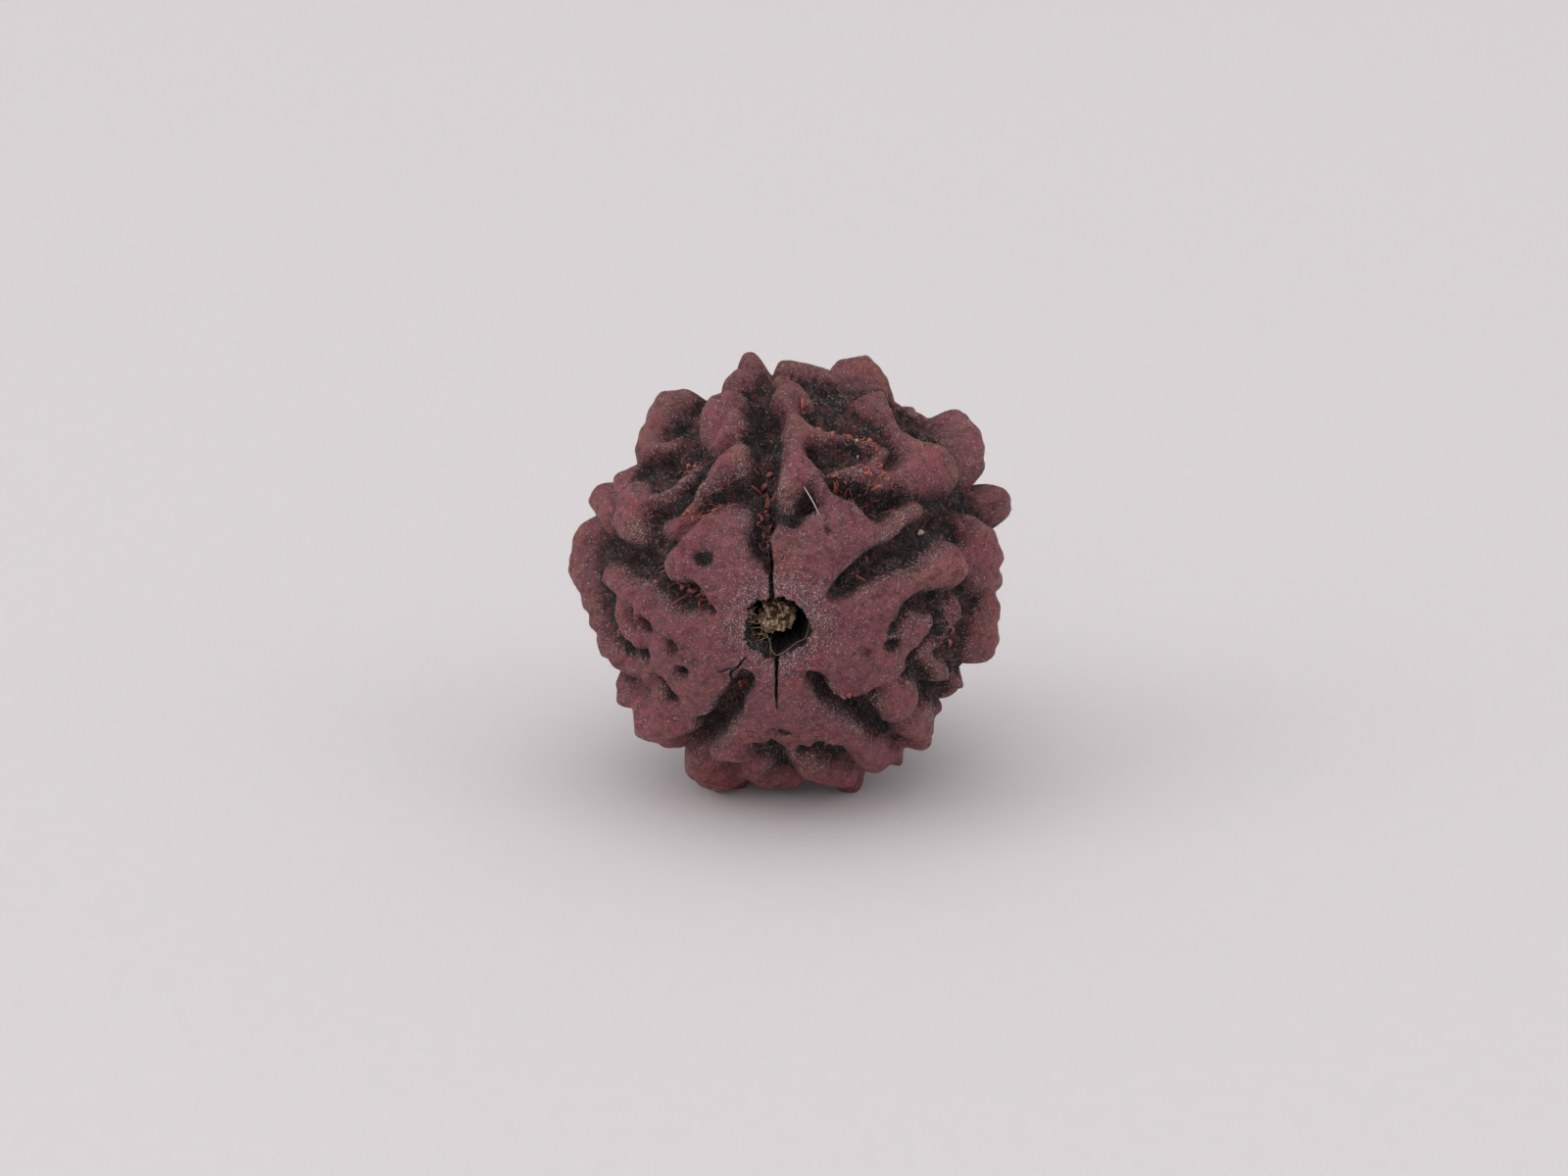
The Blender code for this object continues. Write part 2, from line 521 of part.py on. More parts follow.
def foot_runs():
    """The three knobs that reach the ground, and a little into it, to be cut flat."""
    runs = []
    for lon, polar, half_width in FEET:
        top = float(ground_height(direction([lon], [polar]), CENTRE_HEIGHT + FOOT_SUNK)[0])
        runs.append([(lon, polar, half_width, top)])
    return runs


def swelling(dirs, runs):
    """How much the valleys rise round the knobs and ridges that stand high."""
    lifted = np.zeros(len(dirs))
    for run in runs:
        if max(top for _, _, _, top in run) > SWOLLEN_FROM:
            near = close_to_run(dirs, run, 2.0 * SWOLLEN_WIDTH)
            share, top = nearest_on_run(dirs[near], run)
            swollen = np.maximum(0.0, top - SWOLLEN_FROM) * np.exp(-((share / SWOLLEN_WIDTH) ** 2))
            lifted[near] += swollen**SWOLLEN_POWER
    return lifted ** (1.0 / SWOLLEN_POWER)


def relief(dirs):
    """The height of the surface over the rounded outline, in millimetres."""
    points = dirs * MEAN_RADIUS
    shift = np.stack([waves(points, WANDER_WAVELENGTH, seed) for seed in WANDER_SEEDS], axis=1)
    moved = dirs + shift * WANDER / MEAN_RADIUS
    moved /= np.linalg.norm(moved, axis=1)[:, None]
    _, polar = angles(moved)
    sinking = np.clip((polar - FLOOR_SINKS_FROM) / (FLOOR_SINKS_TO - FLOOR_SINKS_FROM), 0.0, 1.0)
    floor = FLOOR_BY_THE_PORE + (FLOOR - FLOOR_BY_THE_PORE) * sinking
    floor += FLOOR_UNEVEN * waves(points, FLOOR_UNEVEN_WAVELENGTH, FLOOR_UNEVEN_SEED)

    drawn = RIDGES_UPPER_LEFT + RIDGES_UPPER_RIGHT + RIDGES_RIGHT + RIDGES_BELOW + RIDGES_LEFT
    runs = [rounded_run(run) for run in drawn + hidden_runs()]
    floor += swelling(moved, runs)
    raised = np.zeros(len(dirs))
    for run in runs:
        near = close_to_run(moved, run, DOME_REACH)
        share, top = nearest_on_run(moved[near], run)
        raised[near] += np.expm1((top - floor[near]) * dome(share) / BLEND)
    for depth in (cap_depth(moved), np.radians(polar - FAR_CAP_EDGE) * MEAN_RADIUS):
        raised += np.expm1(-floor * rounded((depth + CAP_SPREAD) / CAP_SHOULDER) / BLEND)
    height = floor + BLEND * np.log1p(raised)
    height += SWELL * waves(points, SWELL_WAVELENGTH, SWELL_SEED)

    for run in furrow_runs():
        run = rounded_run(run)
        near = close_to_run(moved, run, FURROW_REACH)
        share, level = nearest_on_run(moved[near], run)
        rise = np.maximum(0.0, (share - WALL_FOOT) / WALL_RUN) ** WALL_CURVE
        wall = level + (WALL_TOP - level) * rise
        lower = np.minimum(height[near], wall)
        higher = np.maximum(height[near], wall)
        height[near] = lower - RIM_BLEND * np.log1p(np.exp((lower - higher) / RIM_BLEND))
    sunk = np.zeros(len(dirs))
    for run in HOLLOWS:
        run = rounded_run(run)
        near = close_to_run(moved, run, 1.0)
        share, depth = nearest_on_run(moved[near], run)
        sunk[near] = np.maximum(sunk[near], depth * (1.0 - np.minimum(share, 1.0) ** 2))
    height = np.minimum(height - sunk, ground_height(dirs, CENTRE_HEIGHT - GROUND_CLEARANCE))

    for run in foot_runs():
        near = close_to_run(dirs, run, DOME_REACH)
        share, top = nearest_on_run(dirs[near], run)
        height[near] = np.maximum(height[near], floor[near] + (top - floor[near]) * dome(share))
    return height


def pore_rim(lon):
    """The polar angle of the pore's rim at a longitude: an oval, dropped a little."""
    turn = np.radians(lon)
    across = 1.0 / np.sqrt((np.cos(turn) / PORE_HALF_WIDTH) ** 2 + (np.sin(turn) / PORE_HALF_HEIGHT) ** 2)
    return np.degrees((across - PORE_DROP * np.sin(turn)) / POLE_RADIUS)


def shell(columns, outer_rows, canal_rows):
    """The whole surface as rings of points: over the outside from pore to far end, back up the canal."""
    lon = np.arange(columns) * 360.0 / columns
    near = pore_rim(lon)
    far = 180.0 - math.degrees(FAR_PORE_RADIUS / POLE_RADIUS)
    shares = np.linspace(0.0, 1.0, outer_rows)
    polar = near[None, :] + (far - near)[None, :] * shares[:, None]
    dirs = direction(np.tile(lon, (outer_rows, 1)), polar).reshape(-1, 3)
    radius = outline_radius(dirs) + relief(dirs)
    outer = (dirs * radius[:, None]).reshape(outer_rows, columns, 3)
    inner = []
    for row in range(1, canal_rows + 1):
        share = row / (canal_rows + 1)
        straight = outer[-1] + (outer[0] - outer[-1]) * share
        far_lip = math.exp(-((share / FAR_LIP_SHARE) ** 2))
        pore_lip = math.exp(-(((1.0 - share) / PORE_LIP_SHARE) ** 2))
        ways = straight[:, :2] / np.linalg.norm(straight[:, :2], axis=1)[:, None]
        round_wall = ways * CANAL_RADIUS * (CANAL_NARROWS_TO + (1.0 - CANAL_NARROWS_TO) * share)
        straight[:, :2] = round_wall + (straight[:, :2] - round_wall) * max(far_lip, pore_lip)
        inner.append(straight)
    return np.concatenate([outer, np.array(inner)])


def laid_down(points):
    """From the stone's own frame to the world: pore towards -Y and tipped up, in metres."""
    return (points @ stone_frame() + np.array([*CENTRE_SHIFT, CENTRE_HEIGHT])) * MM


def ring_mesh(name, rings, close_ends):
    """A mesh of quads over rings of points; its last ring joins its first, or both ends get a fan."""
    rows, columns, _ = rings.shape
    verts = laid_down(rings.reshape(-1, 3))
    faces = []
    for row in range(rows - (1 if close_ends else 0)):
        for column in range(columns):
            after = (column + 1) % columns
            below = (row + 1) % rows
            faces.append(
                (
                    row * columns + column,
                    below * columns + column,
                    below * columns + after,
                    row * columns + after,
                )
            )
    if close_ends:
        faces.append(tuple(range(columns)))
        faces.append(tuple((rows - 1) * columns + column for column in reversed(range(columns))))
    mesh = bpy.data.meshes.new(name)
    mesh.from_pydata(verts.tolist(), [], faces)
    mesh.validate()
    build = bmesh.new()
    build.from_mesh(mesh)
    bmesh.ops.recalc_face_normals(build, faces=build.faces)
    build.to_mesh(mesh)
    build.free()
    return mesh


def place(name, mesh, finish):
    """An object for a mesh, with its finish and smooth shading."""
    mesh.materials.append(finish)
    mesh.shade_smooth()
    obj = bpy.data.objects.new(name, mesh)
    bpy.context.scene.collection.objects.link(obj)
    return obj


def ground_cutter():
    """A block whose top is the surface that the stone lies on."""
    mesh = bpy.data.meshes.new("ground_cutter")
    build = bmesh.new()
    bmesh.ops.create_cube(build, size=1.0)
    side = GROUND_SIDE * MM
    bmesh.ops.scale(build, vec=(side, side, side), verts=build.verts)
    bmesh.ops.translate(build, vec=(0.0, 0.0, -side / 2.0), verts=build.verts)
    build.to_mesh(mesh)
    build.free()
    cutter = bpy.data.objects.new("ground_cutter", mesh)
    bpy.context.scene.collection.objects.link(cutter)
    cutter.hide_render = True
    cutter.display_type = "WIRE"
    return cutter


def make_seed():
    """The stone: drawn finely, thinned where it is smooth, and cut flat where it touches the ground."""
    mesh = ring_mesh("seed", shell(COLUMNS, OUTER_ROWS, CANAL_ROWS), close_ends=False)
    seed = place("seed", mesh, material("wood", WOOD_COLOUR, WOOD_ROUGHNESS))
    thin = seed.modifiers.new("thin", "DECIMATE")
    thin.ratio = KEPT_SHARE
    cut = seed.modifiers.new("cut_flat", "BOOLEAN")
    cut.operation = "DIFFERENCE"
    cut.object = ground_cutter()
    return seed


def make_pith():
    """The pith: a crumbling column, broad at its head, standing free in the canal."""
    lon = np.arange(PITH_COLUMNS) * 2.0 * math.pi / PITH_COLUMNS
    rings = []
    for row in range(PITH_ROWS):
        share = row / (PITH_ROWS - 1)
        height = PITH_TOP + (PITH_FOOT - PITH_TOP) * share
        radius = PITH_HEAD_RADIUS + (PITH_FOOT_RADIUS - PITH_HEAD_RADIUS) * share
        shoulder = math.sqrt(1.0 - max(0.0, 1.0 - share / PITH_SHOULDER) ** 2)
        radius *= max(PITH_TIP_SHARE, shoulder)
        centre = np.array(PITH_CENTRE) * (1.0 - PITH_STRAIGHTENS * share)
        across = centre[0] + radius * np.cos(lon)
        up = centre[1] + radius * np.sin(lon)
        rings.append(np.stack([across, up, np.full(PITH_COLUMNS, height)], axis=1))
    rings = np.array(rings)
    flat = rings.reshape(-1, 3)
    crumble = 1.0 + PITH_CRUMBLE * waves(flat, PITH_GRAIN, PITH_SEED)
    flat[:, :2] = flat[:, :2] * crumble[:, None]
    mesh = ring_mesh("pith_plug", flat.reshape(rings.shape), close_ends=True)
    return place("pith_plug", mesh, material("pith", PITH_COLOUR, PITH_ROUGHNESS))


def main():
    clear_scene()
    make_seed()
    make_pith()


main()
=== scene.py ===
# %% [markdown]
# # A rudraksha seed lying on its side
#
# The object is the dried woody stone of a fruit, about 22 mm wide. Five furrows run from the pore at
# one end to the far end and divide it into five faces. Round the pore the wood is smooth, like five
# petals, and further out it breaks up into knobs and ridges with dusty valleys between them.
#
# The solids of the frame already have its form. This script puts a finer stone, a finer pith and all
# the small loose matter in their place: torn fibres, dust, crumbs and lint.

# %% The frame and the units
import math

import bmesh
import bpy
import numpy as np
from mathutils import Matrix, Vector


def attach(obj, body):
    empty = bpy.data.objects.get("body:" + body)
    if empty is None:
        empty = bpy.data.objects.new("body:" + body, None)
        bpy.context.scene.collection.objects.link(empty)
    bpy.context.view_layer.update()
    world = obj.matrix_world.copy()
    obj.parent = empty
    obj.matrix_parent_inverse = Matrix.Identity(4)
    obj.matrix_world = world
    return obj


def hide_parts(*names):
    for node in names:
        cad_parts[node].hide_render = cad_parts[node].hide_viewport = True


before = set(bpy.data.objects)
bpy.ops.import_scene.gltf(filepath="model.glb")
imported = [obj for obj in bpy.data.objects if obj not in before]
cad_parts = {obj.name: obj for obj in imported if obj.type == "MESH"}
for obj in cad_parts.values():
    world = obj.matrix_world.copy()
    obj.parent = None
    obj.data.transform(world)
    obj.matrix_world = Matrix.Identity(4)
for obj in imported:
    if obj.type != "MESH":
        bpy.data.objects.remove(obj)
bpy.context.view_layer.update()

MM = 0.001
print("solids in the frame:", ", ".join(sorted(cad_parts)))

# %% [markdown]
# ## The camera
#
# The photograph was taken with a long lens from in front and a little above, so the far side hardly
# shrinks. A camera is placed by the distance, the rise over the table and a small turn, and then slid
# sideways and upwards until the middle of the seed falls on the pixel where the photograph has it.
# Sliding keeps the direction of view, which a shifted lens would keep too.

# %% The camera
PICTURE_WIDTH = 1600
PICTURE_HEIGHT = 1200
LENS = 100.0
SENSOR = 36.0
CAMERA_DISTANCE = 215.0
CAMERA_RISE = math.radians(20.0)
CAMERA_TURN = math.radians(4.7)
SEED_CENTRE = Vector((0.101, -0.045, 10.6))
SEED_PIXEL = (810.0, 583.0)
NEAREST_SEEN = 0.01
FURTHEST_SEEN = 20.0


def put_in_scene(name, data):
    """A new object in the scene, made of its mesh, light or camera."""
    made = bpy.data.objects.new(name, data)
    bpy.context.scene.collection.objects.link(made)
    return made


def make_camera():
    """A long lens, looking down at the seed, with the seed's centre on its pixel."""
    right = Vector((math.cos(CAMERA_TURN), math.sin(CAMERA_TURN), 0.0))
    level = Vector((math.sin(CAMERA_TURN), -math.cos(CAMERA_TURN), 0.0))
    back = level * math.cos(CAMERA_RISE) + Vector((0.0, 0.0, math.sin(CAMERA_RISE)))
    up = back.cross(right)
    mm_per_pixel = CAMERA_DISTANCE * SENSOR / LENS / PICTURE_WIDTH
    slide_right = (PICTURE_WIDTH / 2.0 - SEED_PIXEL[0]) * mm_per_pixel
    slide_up = (SEED_PIXEL[1] - PICTURE_HEIGHT / 2.0) * mm_per_pixel
    place = SEED_CENTRE + back * CAMERA_DISTANCE + right * slide_right + up * slide_up
    data = bpy.data.cameras.new("camera")
    data.lens = LENS
    data.sensor_width = SENSOR
    data.clip_start = NEAREST_SEEN
    data.clip_end = FURTHEST_SEEN
    camera = put_in_scene("camera", data)
    turn = Matrix((right, up, back)).transposed().to_4x4()
    camera.matrix_world = Matrix.Translation(place * MM) @ turn
    bpy.context.scene.camera = camera
    return camera


camera = make_camera()
print("camera at, mm:", [round(c / MM, 1) for c in camera.location])

# %% [markdown]
# ## Nodes without the mouse
#
# A material is a small network of nodes. A few helpers keep such networks short in code. The first
# makes a node, sets its inputs and links what comes from other nodes, and the rest are built on it.

# %% Helpers for materials


def add_node(tree, kind, inputs=None, **settings):
    """A node of a kind. An input is set to a value, or linked if a socket is given."""
    made = tree.nodes.new(kind)
    for name, value in settings.items():
        setattr(made, name, value)
    for name, value in (inputs or {}).items():
        if isinstance(value, bpy.types.NodeSocket):
            tree.links.new(value, made.inputs[name])
        else:
            made.inputs[name].default_value = value
    return made


def maths(tree, operation, first, second, clamp=False):
    """The result of one Math node."""
    made = add_node(tree, "ShaderNodeMath", {0: first, 1: second}, operation=operation, use_clamp=clamp)
    return made.outputs[0]


def fade(tree, value, low, high):
    """0 where the value is at or under low, 1 at or over high, smooth in between."""
    inputs = {"Value": value, "From Min": low, "From Max": high}
    return add_node(tree, "ShaderNodeMapRange", inputs, interpolation_type="SMOOTHSTEP").outputs["Result"]


def blend(tree, share, first, second):
    """Two colours mixed by a share. The node has them in slots 6 and 7, and their mix in slot 2."""
    inputs = {"Factor": share}
    for slot, colour in ((6, first), (7, second)):
        inputs[slot] = colour if isinstance(colour, bpy.types.NodeSocket) else (*colour, 1.0)
    return add_node(tree, "ShaderNodeMix", inputs, data_type="RGBA").outputs[2]


def noise(tree, place, grain, detail, seed=0.0, rough=0.55):
    """Cloudy noise between 0 and 1, its clouds about grain millimetres across."""
    inputs = {"Vector": place, "W": seed, "Scale": 1.0 / (grain * MM), "Detail": detail, "Roughness": rough}
    return add_node(tree, "ShaderNodeTexNoise", inputs, noise_dimensions="4D").outputs["Fac"]


def attribute(tree, name):
    """The value that the mesh carries under a name."""
    return add_node(tree, "ShaderNodeAttribute", attribute_name=name).outputs["Fac"]


def new_material(name, colour, roughness, gloss):
    """A plain Principled material, with its network, its shader and the place on the object."""
    made = bpy.data.materials.new(name)
    made.use_nodes = True
    made.diffuse_color = (*colour, 1.0)
    tree = made.node_tree
    shader = tree.nodes["Principled BSDF"]
    shader.inputs["Base Color"].default_value = (*colour, 1.0)
    shader.inputs["Roughness"].default_value = roughness
    shader.inputs["Specular IOR Level"].default_value = gloss
    return made, tree, shader, add_node(tree, "ShaderNodeTexCoord").outputs["Object"]


def roughen(tree, shader, height, depth, strength=1.0):
    """Relief that is only in the shading, depth millimetres deep."""
    made = add_node(tree, "ShaderNodeBump", {"Height": height, "Distance": depth * MM, "Strength": strength})
    tree.links.new(made.outputs["Normal"], shader.inputs["Normal"])


# %% [markdown]
# ## The table and the light
#
# The seed lies on a pale, seamless sheet. The sheet is turned round the seed as one bowl: flat in the
# middle, then curving up far behind, so that no edge shows from any side. The light is an even
# pale sky, one wide soft panel overhead and three smaller ones round the seed. That gives the faint
# shadows to the left and right, and the dark narrow one under the seed.

# %% The sheet
FLOOR_COLOUR = (0.78, 0.755, 0.765)
FLOOR_CLOUD = (0.7527, 0.7286, 0.7382)
FLOOR_CLOUD_SIZE = 1.2
FLOOR_CLOUD_DETAIL = 2.0
FLOOR_ROUGHNESS = 0.9
FLOOR_GLOSS = 0.1
FLOOR_MIDDLE = 0.018
FLOOR_FLAT = 0.9
FLOOR_CURVE = 0.6
FLOOR_WALL = 1.0
FLOOR_SIDES = 96
FLOOR_STEPS = 12


def make_floor():
    """A flat disc that curves up into a round wall."""
    profile = [(FLOOR_MIDDLE, 0.0), (FLOOR_FLAT, 0.0)]
    for step in range(1, FLOOR_STEPS + 1):
        turn = math.pi / 2.0 * step / FLOOR_STEPS
        profile.append((FLOOR_FLAT + FLOOR_CURVE * math.sin(turn), FLOOR_CURVE * (1.0 - math.cos(turn))))
    profile.append((FLOOR_FLAT + FLOOR_CURVE, FLOOR_CURVE + FLOOR_WALL))
    turns = [2.0 * math.pi * side / FLOOR_SIDES for side in range(FLOOR_SIDES)]
    build = bmesh.new()
    rings = []
    for radius, height in profile:
        rings.append([build.verts.new((radius * math.cos(t), radius * math.sin(t), height)) for t in turns])
    build.faces.new(rings[0])
    for inner, outer in zip(rings, rings[1:]):
        for side in range(FLOOR_SIDES):
            after = (side + 1) % FLOOR_SIDES
            build.faces.new((inner[side], outer[side], outer[after], inner[after]))
    mesh = bpy.data.meshes.new("floor")
    build.to_mesh(mesh)
    build.free()
    mesh.shade_smooth()
    return put_in_scene("floor", mesh)


floor = make_floor()
floor_paint, tree, shader, where = new_material("pale_sheet", FLOOR_COLOUR, FLOOR_ROUGHNESS, FLOOR_GLOSS)
clouded = noise(tree, where, FLOOR_CLOUD_SIZE, FLOOR_CLOUD_DETAIL)
tree.links.new(blend(tree, clouded, FLOOR_COLOUR, FLOOR_CLOUD), shader.inputs["Base Color"])
floor.data.materials.append(floor_paint)
print("floor:", len(floor.data.polygons), "faces")

# %% The lights, as place, side in metres and watts
SKY_STRENGTH = 0.72
SKY_COLOUR = (1.0, 0.985, 0.99, 1.0)
LIGHTS = {
    "overhead": ((-0.1, -0.1, 1.3), 1.4, 3.2),
    "left": ((-1.0, -0.45, 0.8), 0.85, 3.0),
    "right": ((1.0, -0.35, 0.8), 0.7, 1.2),
    "front": ((-0.15, -1.3, 0.9), 0.9, 2.0),
}


def make_light(name, place, side, watts):
    """A square soft panel that faces the seed."""
    data = bpy.data.lights.new(name, "AREA")
    data.shape = "SQUARE"
    data.size = side
    data.energy = watts
    light = put_in_scene(name, data)
    light.location = place
    light.rotation_euler = Vector(place).to_track_quat("Z", "Y").to_euler()


world = bpy.data.worlds.new("studio")
world.use_nodes = True
backdrop = world.node_tree.nodes["Background"]
backdrop.inputs["Color"].default_value = SKY_COLOUR
backdrop.inputs["Strength"].default_value = SKY_STRENGTH
bpy.context.scene.world = world
bpy.context.scene.view_settings.view_transform = "Standard"
for name, (place, side, watts) in LIGHTS.items():
    make_light(name, place, side, watts)
print("lights:", ", ".join(LIGHTS))

# %% [markdown]
# ## Places on the stone
#
# A place on the stone is a pair of angles, as on a globe that lies on its side: the polar angle from
# the pore, which looks at the camera, and the longitude round it, with 0 to the right and 90 on top.
# The rounded outline that the ridges reach is a spheroid, a little short along its axis. All the
# relief is a height over that outline, in millimetres.

# %% The stone's own frame
FACES = 5
EQUATOR_RADIUS = 10.4
POLE_RADIUS = 9.9
MEAN_RADIUS = 10.2
PORE_TIPPED_UP = math.radians(5.0)
STONE_RIGHT = (1.0, 0.0, 0.0)
STONE_UP = (0.0, math.sin(PORE_TIPPED_UP), math.cos(PORE_TIPPED_UP))
STONE_PORE = (0.0, -math.cos(PORE_TIPPED_UP), math.sin(PORE_TIPPED_UP))
STONE_AXES = np.array([STONE_RIGHT, STONE_UP, STONE_PORE])


def direction(lon, polar):
    """Unit vectors of the stone's own frame for angles in degrees."""
    lon = np.radians(np.asarray(lon, float))
    polar = np.radians(np.asarray(polar, float))
    return np.stack([np.sin(polar) * np.cos(lon), np.sin(polar) * np.sin(lon), np.cos(polar)], axis=-1)


def angles(dirs):
    """Longitude and polar angle in degrees of unit vectors."""
    lon = np.degrees(np.arctan2(dirs[:, 1], dirs[:, 0])) % 360.0
    polar = np.degrees(np.arccos(np.clip(dirs[:, 2], -1.0, 1.0)))
    return lon, polar


def outline_radius(dirs):
    """The rounded outline that the ridges reach: a spheroid, a little short along its axis."""
    along = dirs[:, 2]
    across = np.sqrt(np.maximum(0.0, 1.0 - along**2))
    return 1.0 / np.sqrt((along / POLE_RADIUS) ** 2 + (across / EQUATOR_RADIUS) ** 2)


def laid_down(points):
    """From the stone's own frame to the world: pore towards -Y and tipped up, in metres."""
    return (points @ STONE_AXES + np.array(SEED_CENTRE)) * MM


def unit(vectors):
    """The vectors, or one vector, made 1 long."""
    return vectors / np.linalg.norm(vectors, axis=-1, keepdims=True)


def waves(points, wavelength, seed, count=28):
    """Smooth random heights with a spread of about 1: many plane waves in seeded directions."""
    rng = np.random.default_rng(seed)
    ways = unit(rng.normal(size=(count, 3)))
    pitch = wavelength * rng.uniform(0.7, 1.4, count)
    phase = rng.uniform(0.0, 2.0 * math.pi, count)
    turns = points @ (ways / pitch[:, None]).T * 2.0 * math.pi + phase
    return np.cos(turns).sum(axis=1) * math.sqrt(2.0 / count)


def ripples(points, layers, count=28):
    """Waves on top of each other, each layer with its wavelength, size and seed."""
    return sum(size * waves(points, wavelength, seed, count) for wavelength, size, seed in layers)


# %% [markdown]
# ## The petals round the pore
#
# The smooth part round the pore ends in a line that runs out along the five petals and back into each
# furrow. Its corners were read from the photograph, as pairs of longitude and polar angle.

# %% The edge of the petals
CAP_EDGE = [
    (303, 18.5), (308.5, 25), (313, 29), (319, 31.5), (320, 35), (323, 38), (330, 42), (335, 41.5),
    (341, 40), (345, 43.5), (350, 46), (354, 46.5), (358, 45.5), (1, 41), (4, 38.5), (10, 39),
    (18.5, 41), (21.5, 38), (22, 34), (25, 28.5), (24, 22), (25, 17.5), (31, 18.5), (36.5, 23.5),
    (36.5, 27.5), (35.5, 31.5), (36.2, 36), (36.8, 41), (39.5, 45.5), (42.5, 44.2), (46.5, 41.5),
    (50.4, 40.4), (57.7, 40.1), (64, 40.9), (69, 41.8), (69.5, 39.5), (67.2, 36.5), (70, 33.5),
    (75, 30), (80, 28), (86, 27.8), (91, 26.5), (92.5, 24), (95.5, 19.5),
    (97.5, 16), (106, 15.5), (111, 19.5), (107.5, 25), (106.8, 31.5), (110, 34.3), (115.5, 36),
    (121.5, 36.6), (131, 37.6), (140, 38.6), (149, 39.5), (157, 40.3), (159.8, 38.5), (160.5, 34.5),
    (161.5, 29), (163, 24), (167, 20.5), (172, 18.5), (178.5, 20.5), (180, 26), (177.5, 32.5),
    (175, 38), (172.5, 43), (178, 47), (186, 46), (194, 45), (203, 43), (210, 47), (216, 43),
    (219, 42), (222, 47), (226, 50), (232, 49), (236, 46), (235, 38), (233, 30), (233, 24.5),
    (239, 19.5), (246.5, 20), (250.5, 27), (249.8, 33), (248.5, 41), (250, 45), (258, 43), (264, 40),
    (270, 43), (277, 42), (283, 42), (290, 42.5), (294, 47), (299, 47), (299.5, 44), (298, 38),
    (298, 31.5), (295, 26), (295, 20), (299, 17.8),
]
print("edge of the petals:", len(CAP_EDGE), "corners")

# %% [markdown]
# ## Knobs and ridges
#
# Everything outside the petals is rows of knobs, joined by ridges as in a coarse net. Sculpting them
# by hand would not be repeatable, and noise alone would put them in the wrong places. So each knob or
# ridge is a run: a few places with the half width and the height of its crest. One group of runs
# stands for each of the five faces.

# %% The upper left face
RIDGES_UPPER_LEFT = [
    [(105, 48, 1.0, 0.12), (110, 48.5, 1.1, 0.18), (116, 46, 0.7, 0.0), (122, 43.8, 0.45, -0.15),
     (127, 42.5, 0.35, -0.3)],
    [(112.5, 58.5, 0.55, -0.15), (107.5, 62, 0.9, 0.12), (105, 65.5, 0.7, 0.1)],
    [(116.5, 63, 0.55, -0.15), (114, 69, 1.05, 0.2), (110.5, 75, 1.15, 0.3)],
    [(105, 86, 0.8, 0.35)],
    [(103.5, 96, 0.9, 0.75)],
    [(121.5, 90, 0.7, 0.3), (127, 88, 0.95, 0.6), (132, 83, 1.1, 0.42), (137, 77, 0.95, 0.15)],
    [(134, 72, 0.7, -0.1), (128, 67, 0.55, -0.45)],
    [(143, 43, 0.62, -0.15), (136, 42, 0.62, -0.15), (129, 41, 0.45, -0.25)],
    [(121, 53, 0.45, -0.55), (128, 53, 0.5, -0.5), (132, 51, 0.45, -0.3)],
    [(130, 49.5, 0.36, -0.3), (137, 51, 0.4, -0.15), (143, 55, 0.5, 0.0), (149, 62, 1.0, 0.2)],
    [(149, 62, 1.15, 0.25), (155, 58, 1.3, 0.25), (160, 54, 1.0, 0.05)],
    [(148, 75, 1.0, 0.05), (150, 68, 0.8, -0.1)],
    [(158, 80, 0.95, 0.6), (159, 70, 1.0, 0.1)],
]

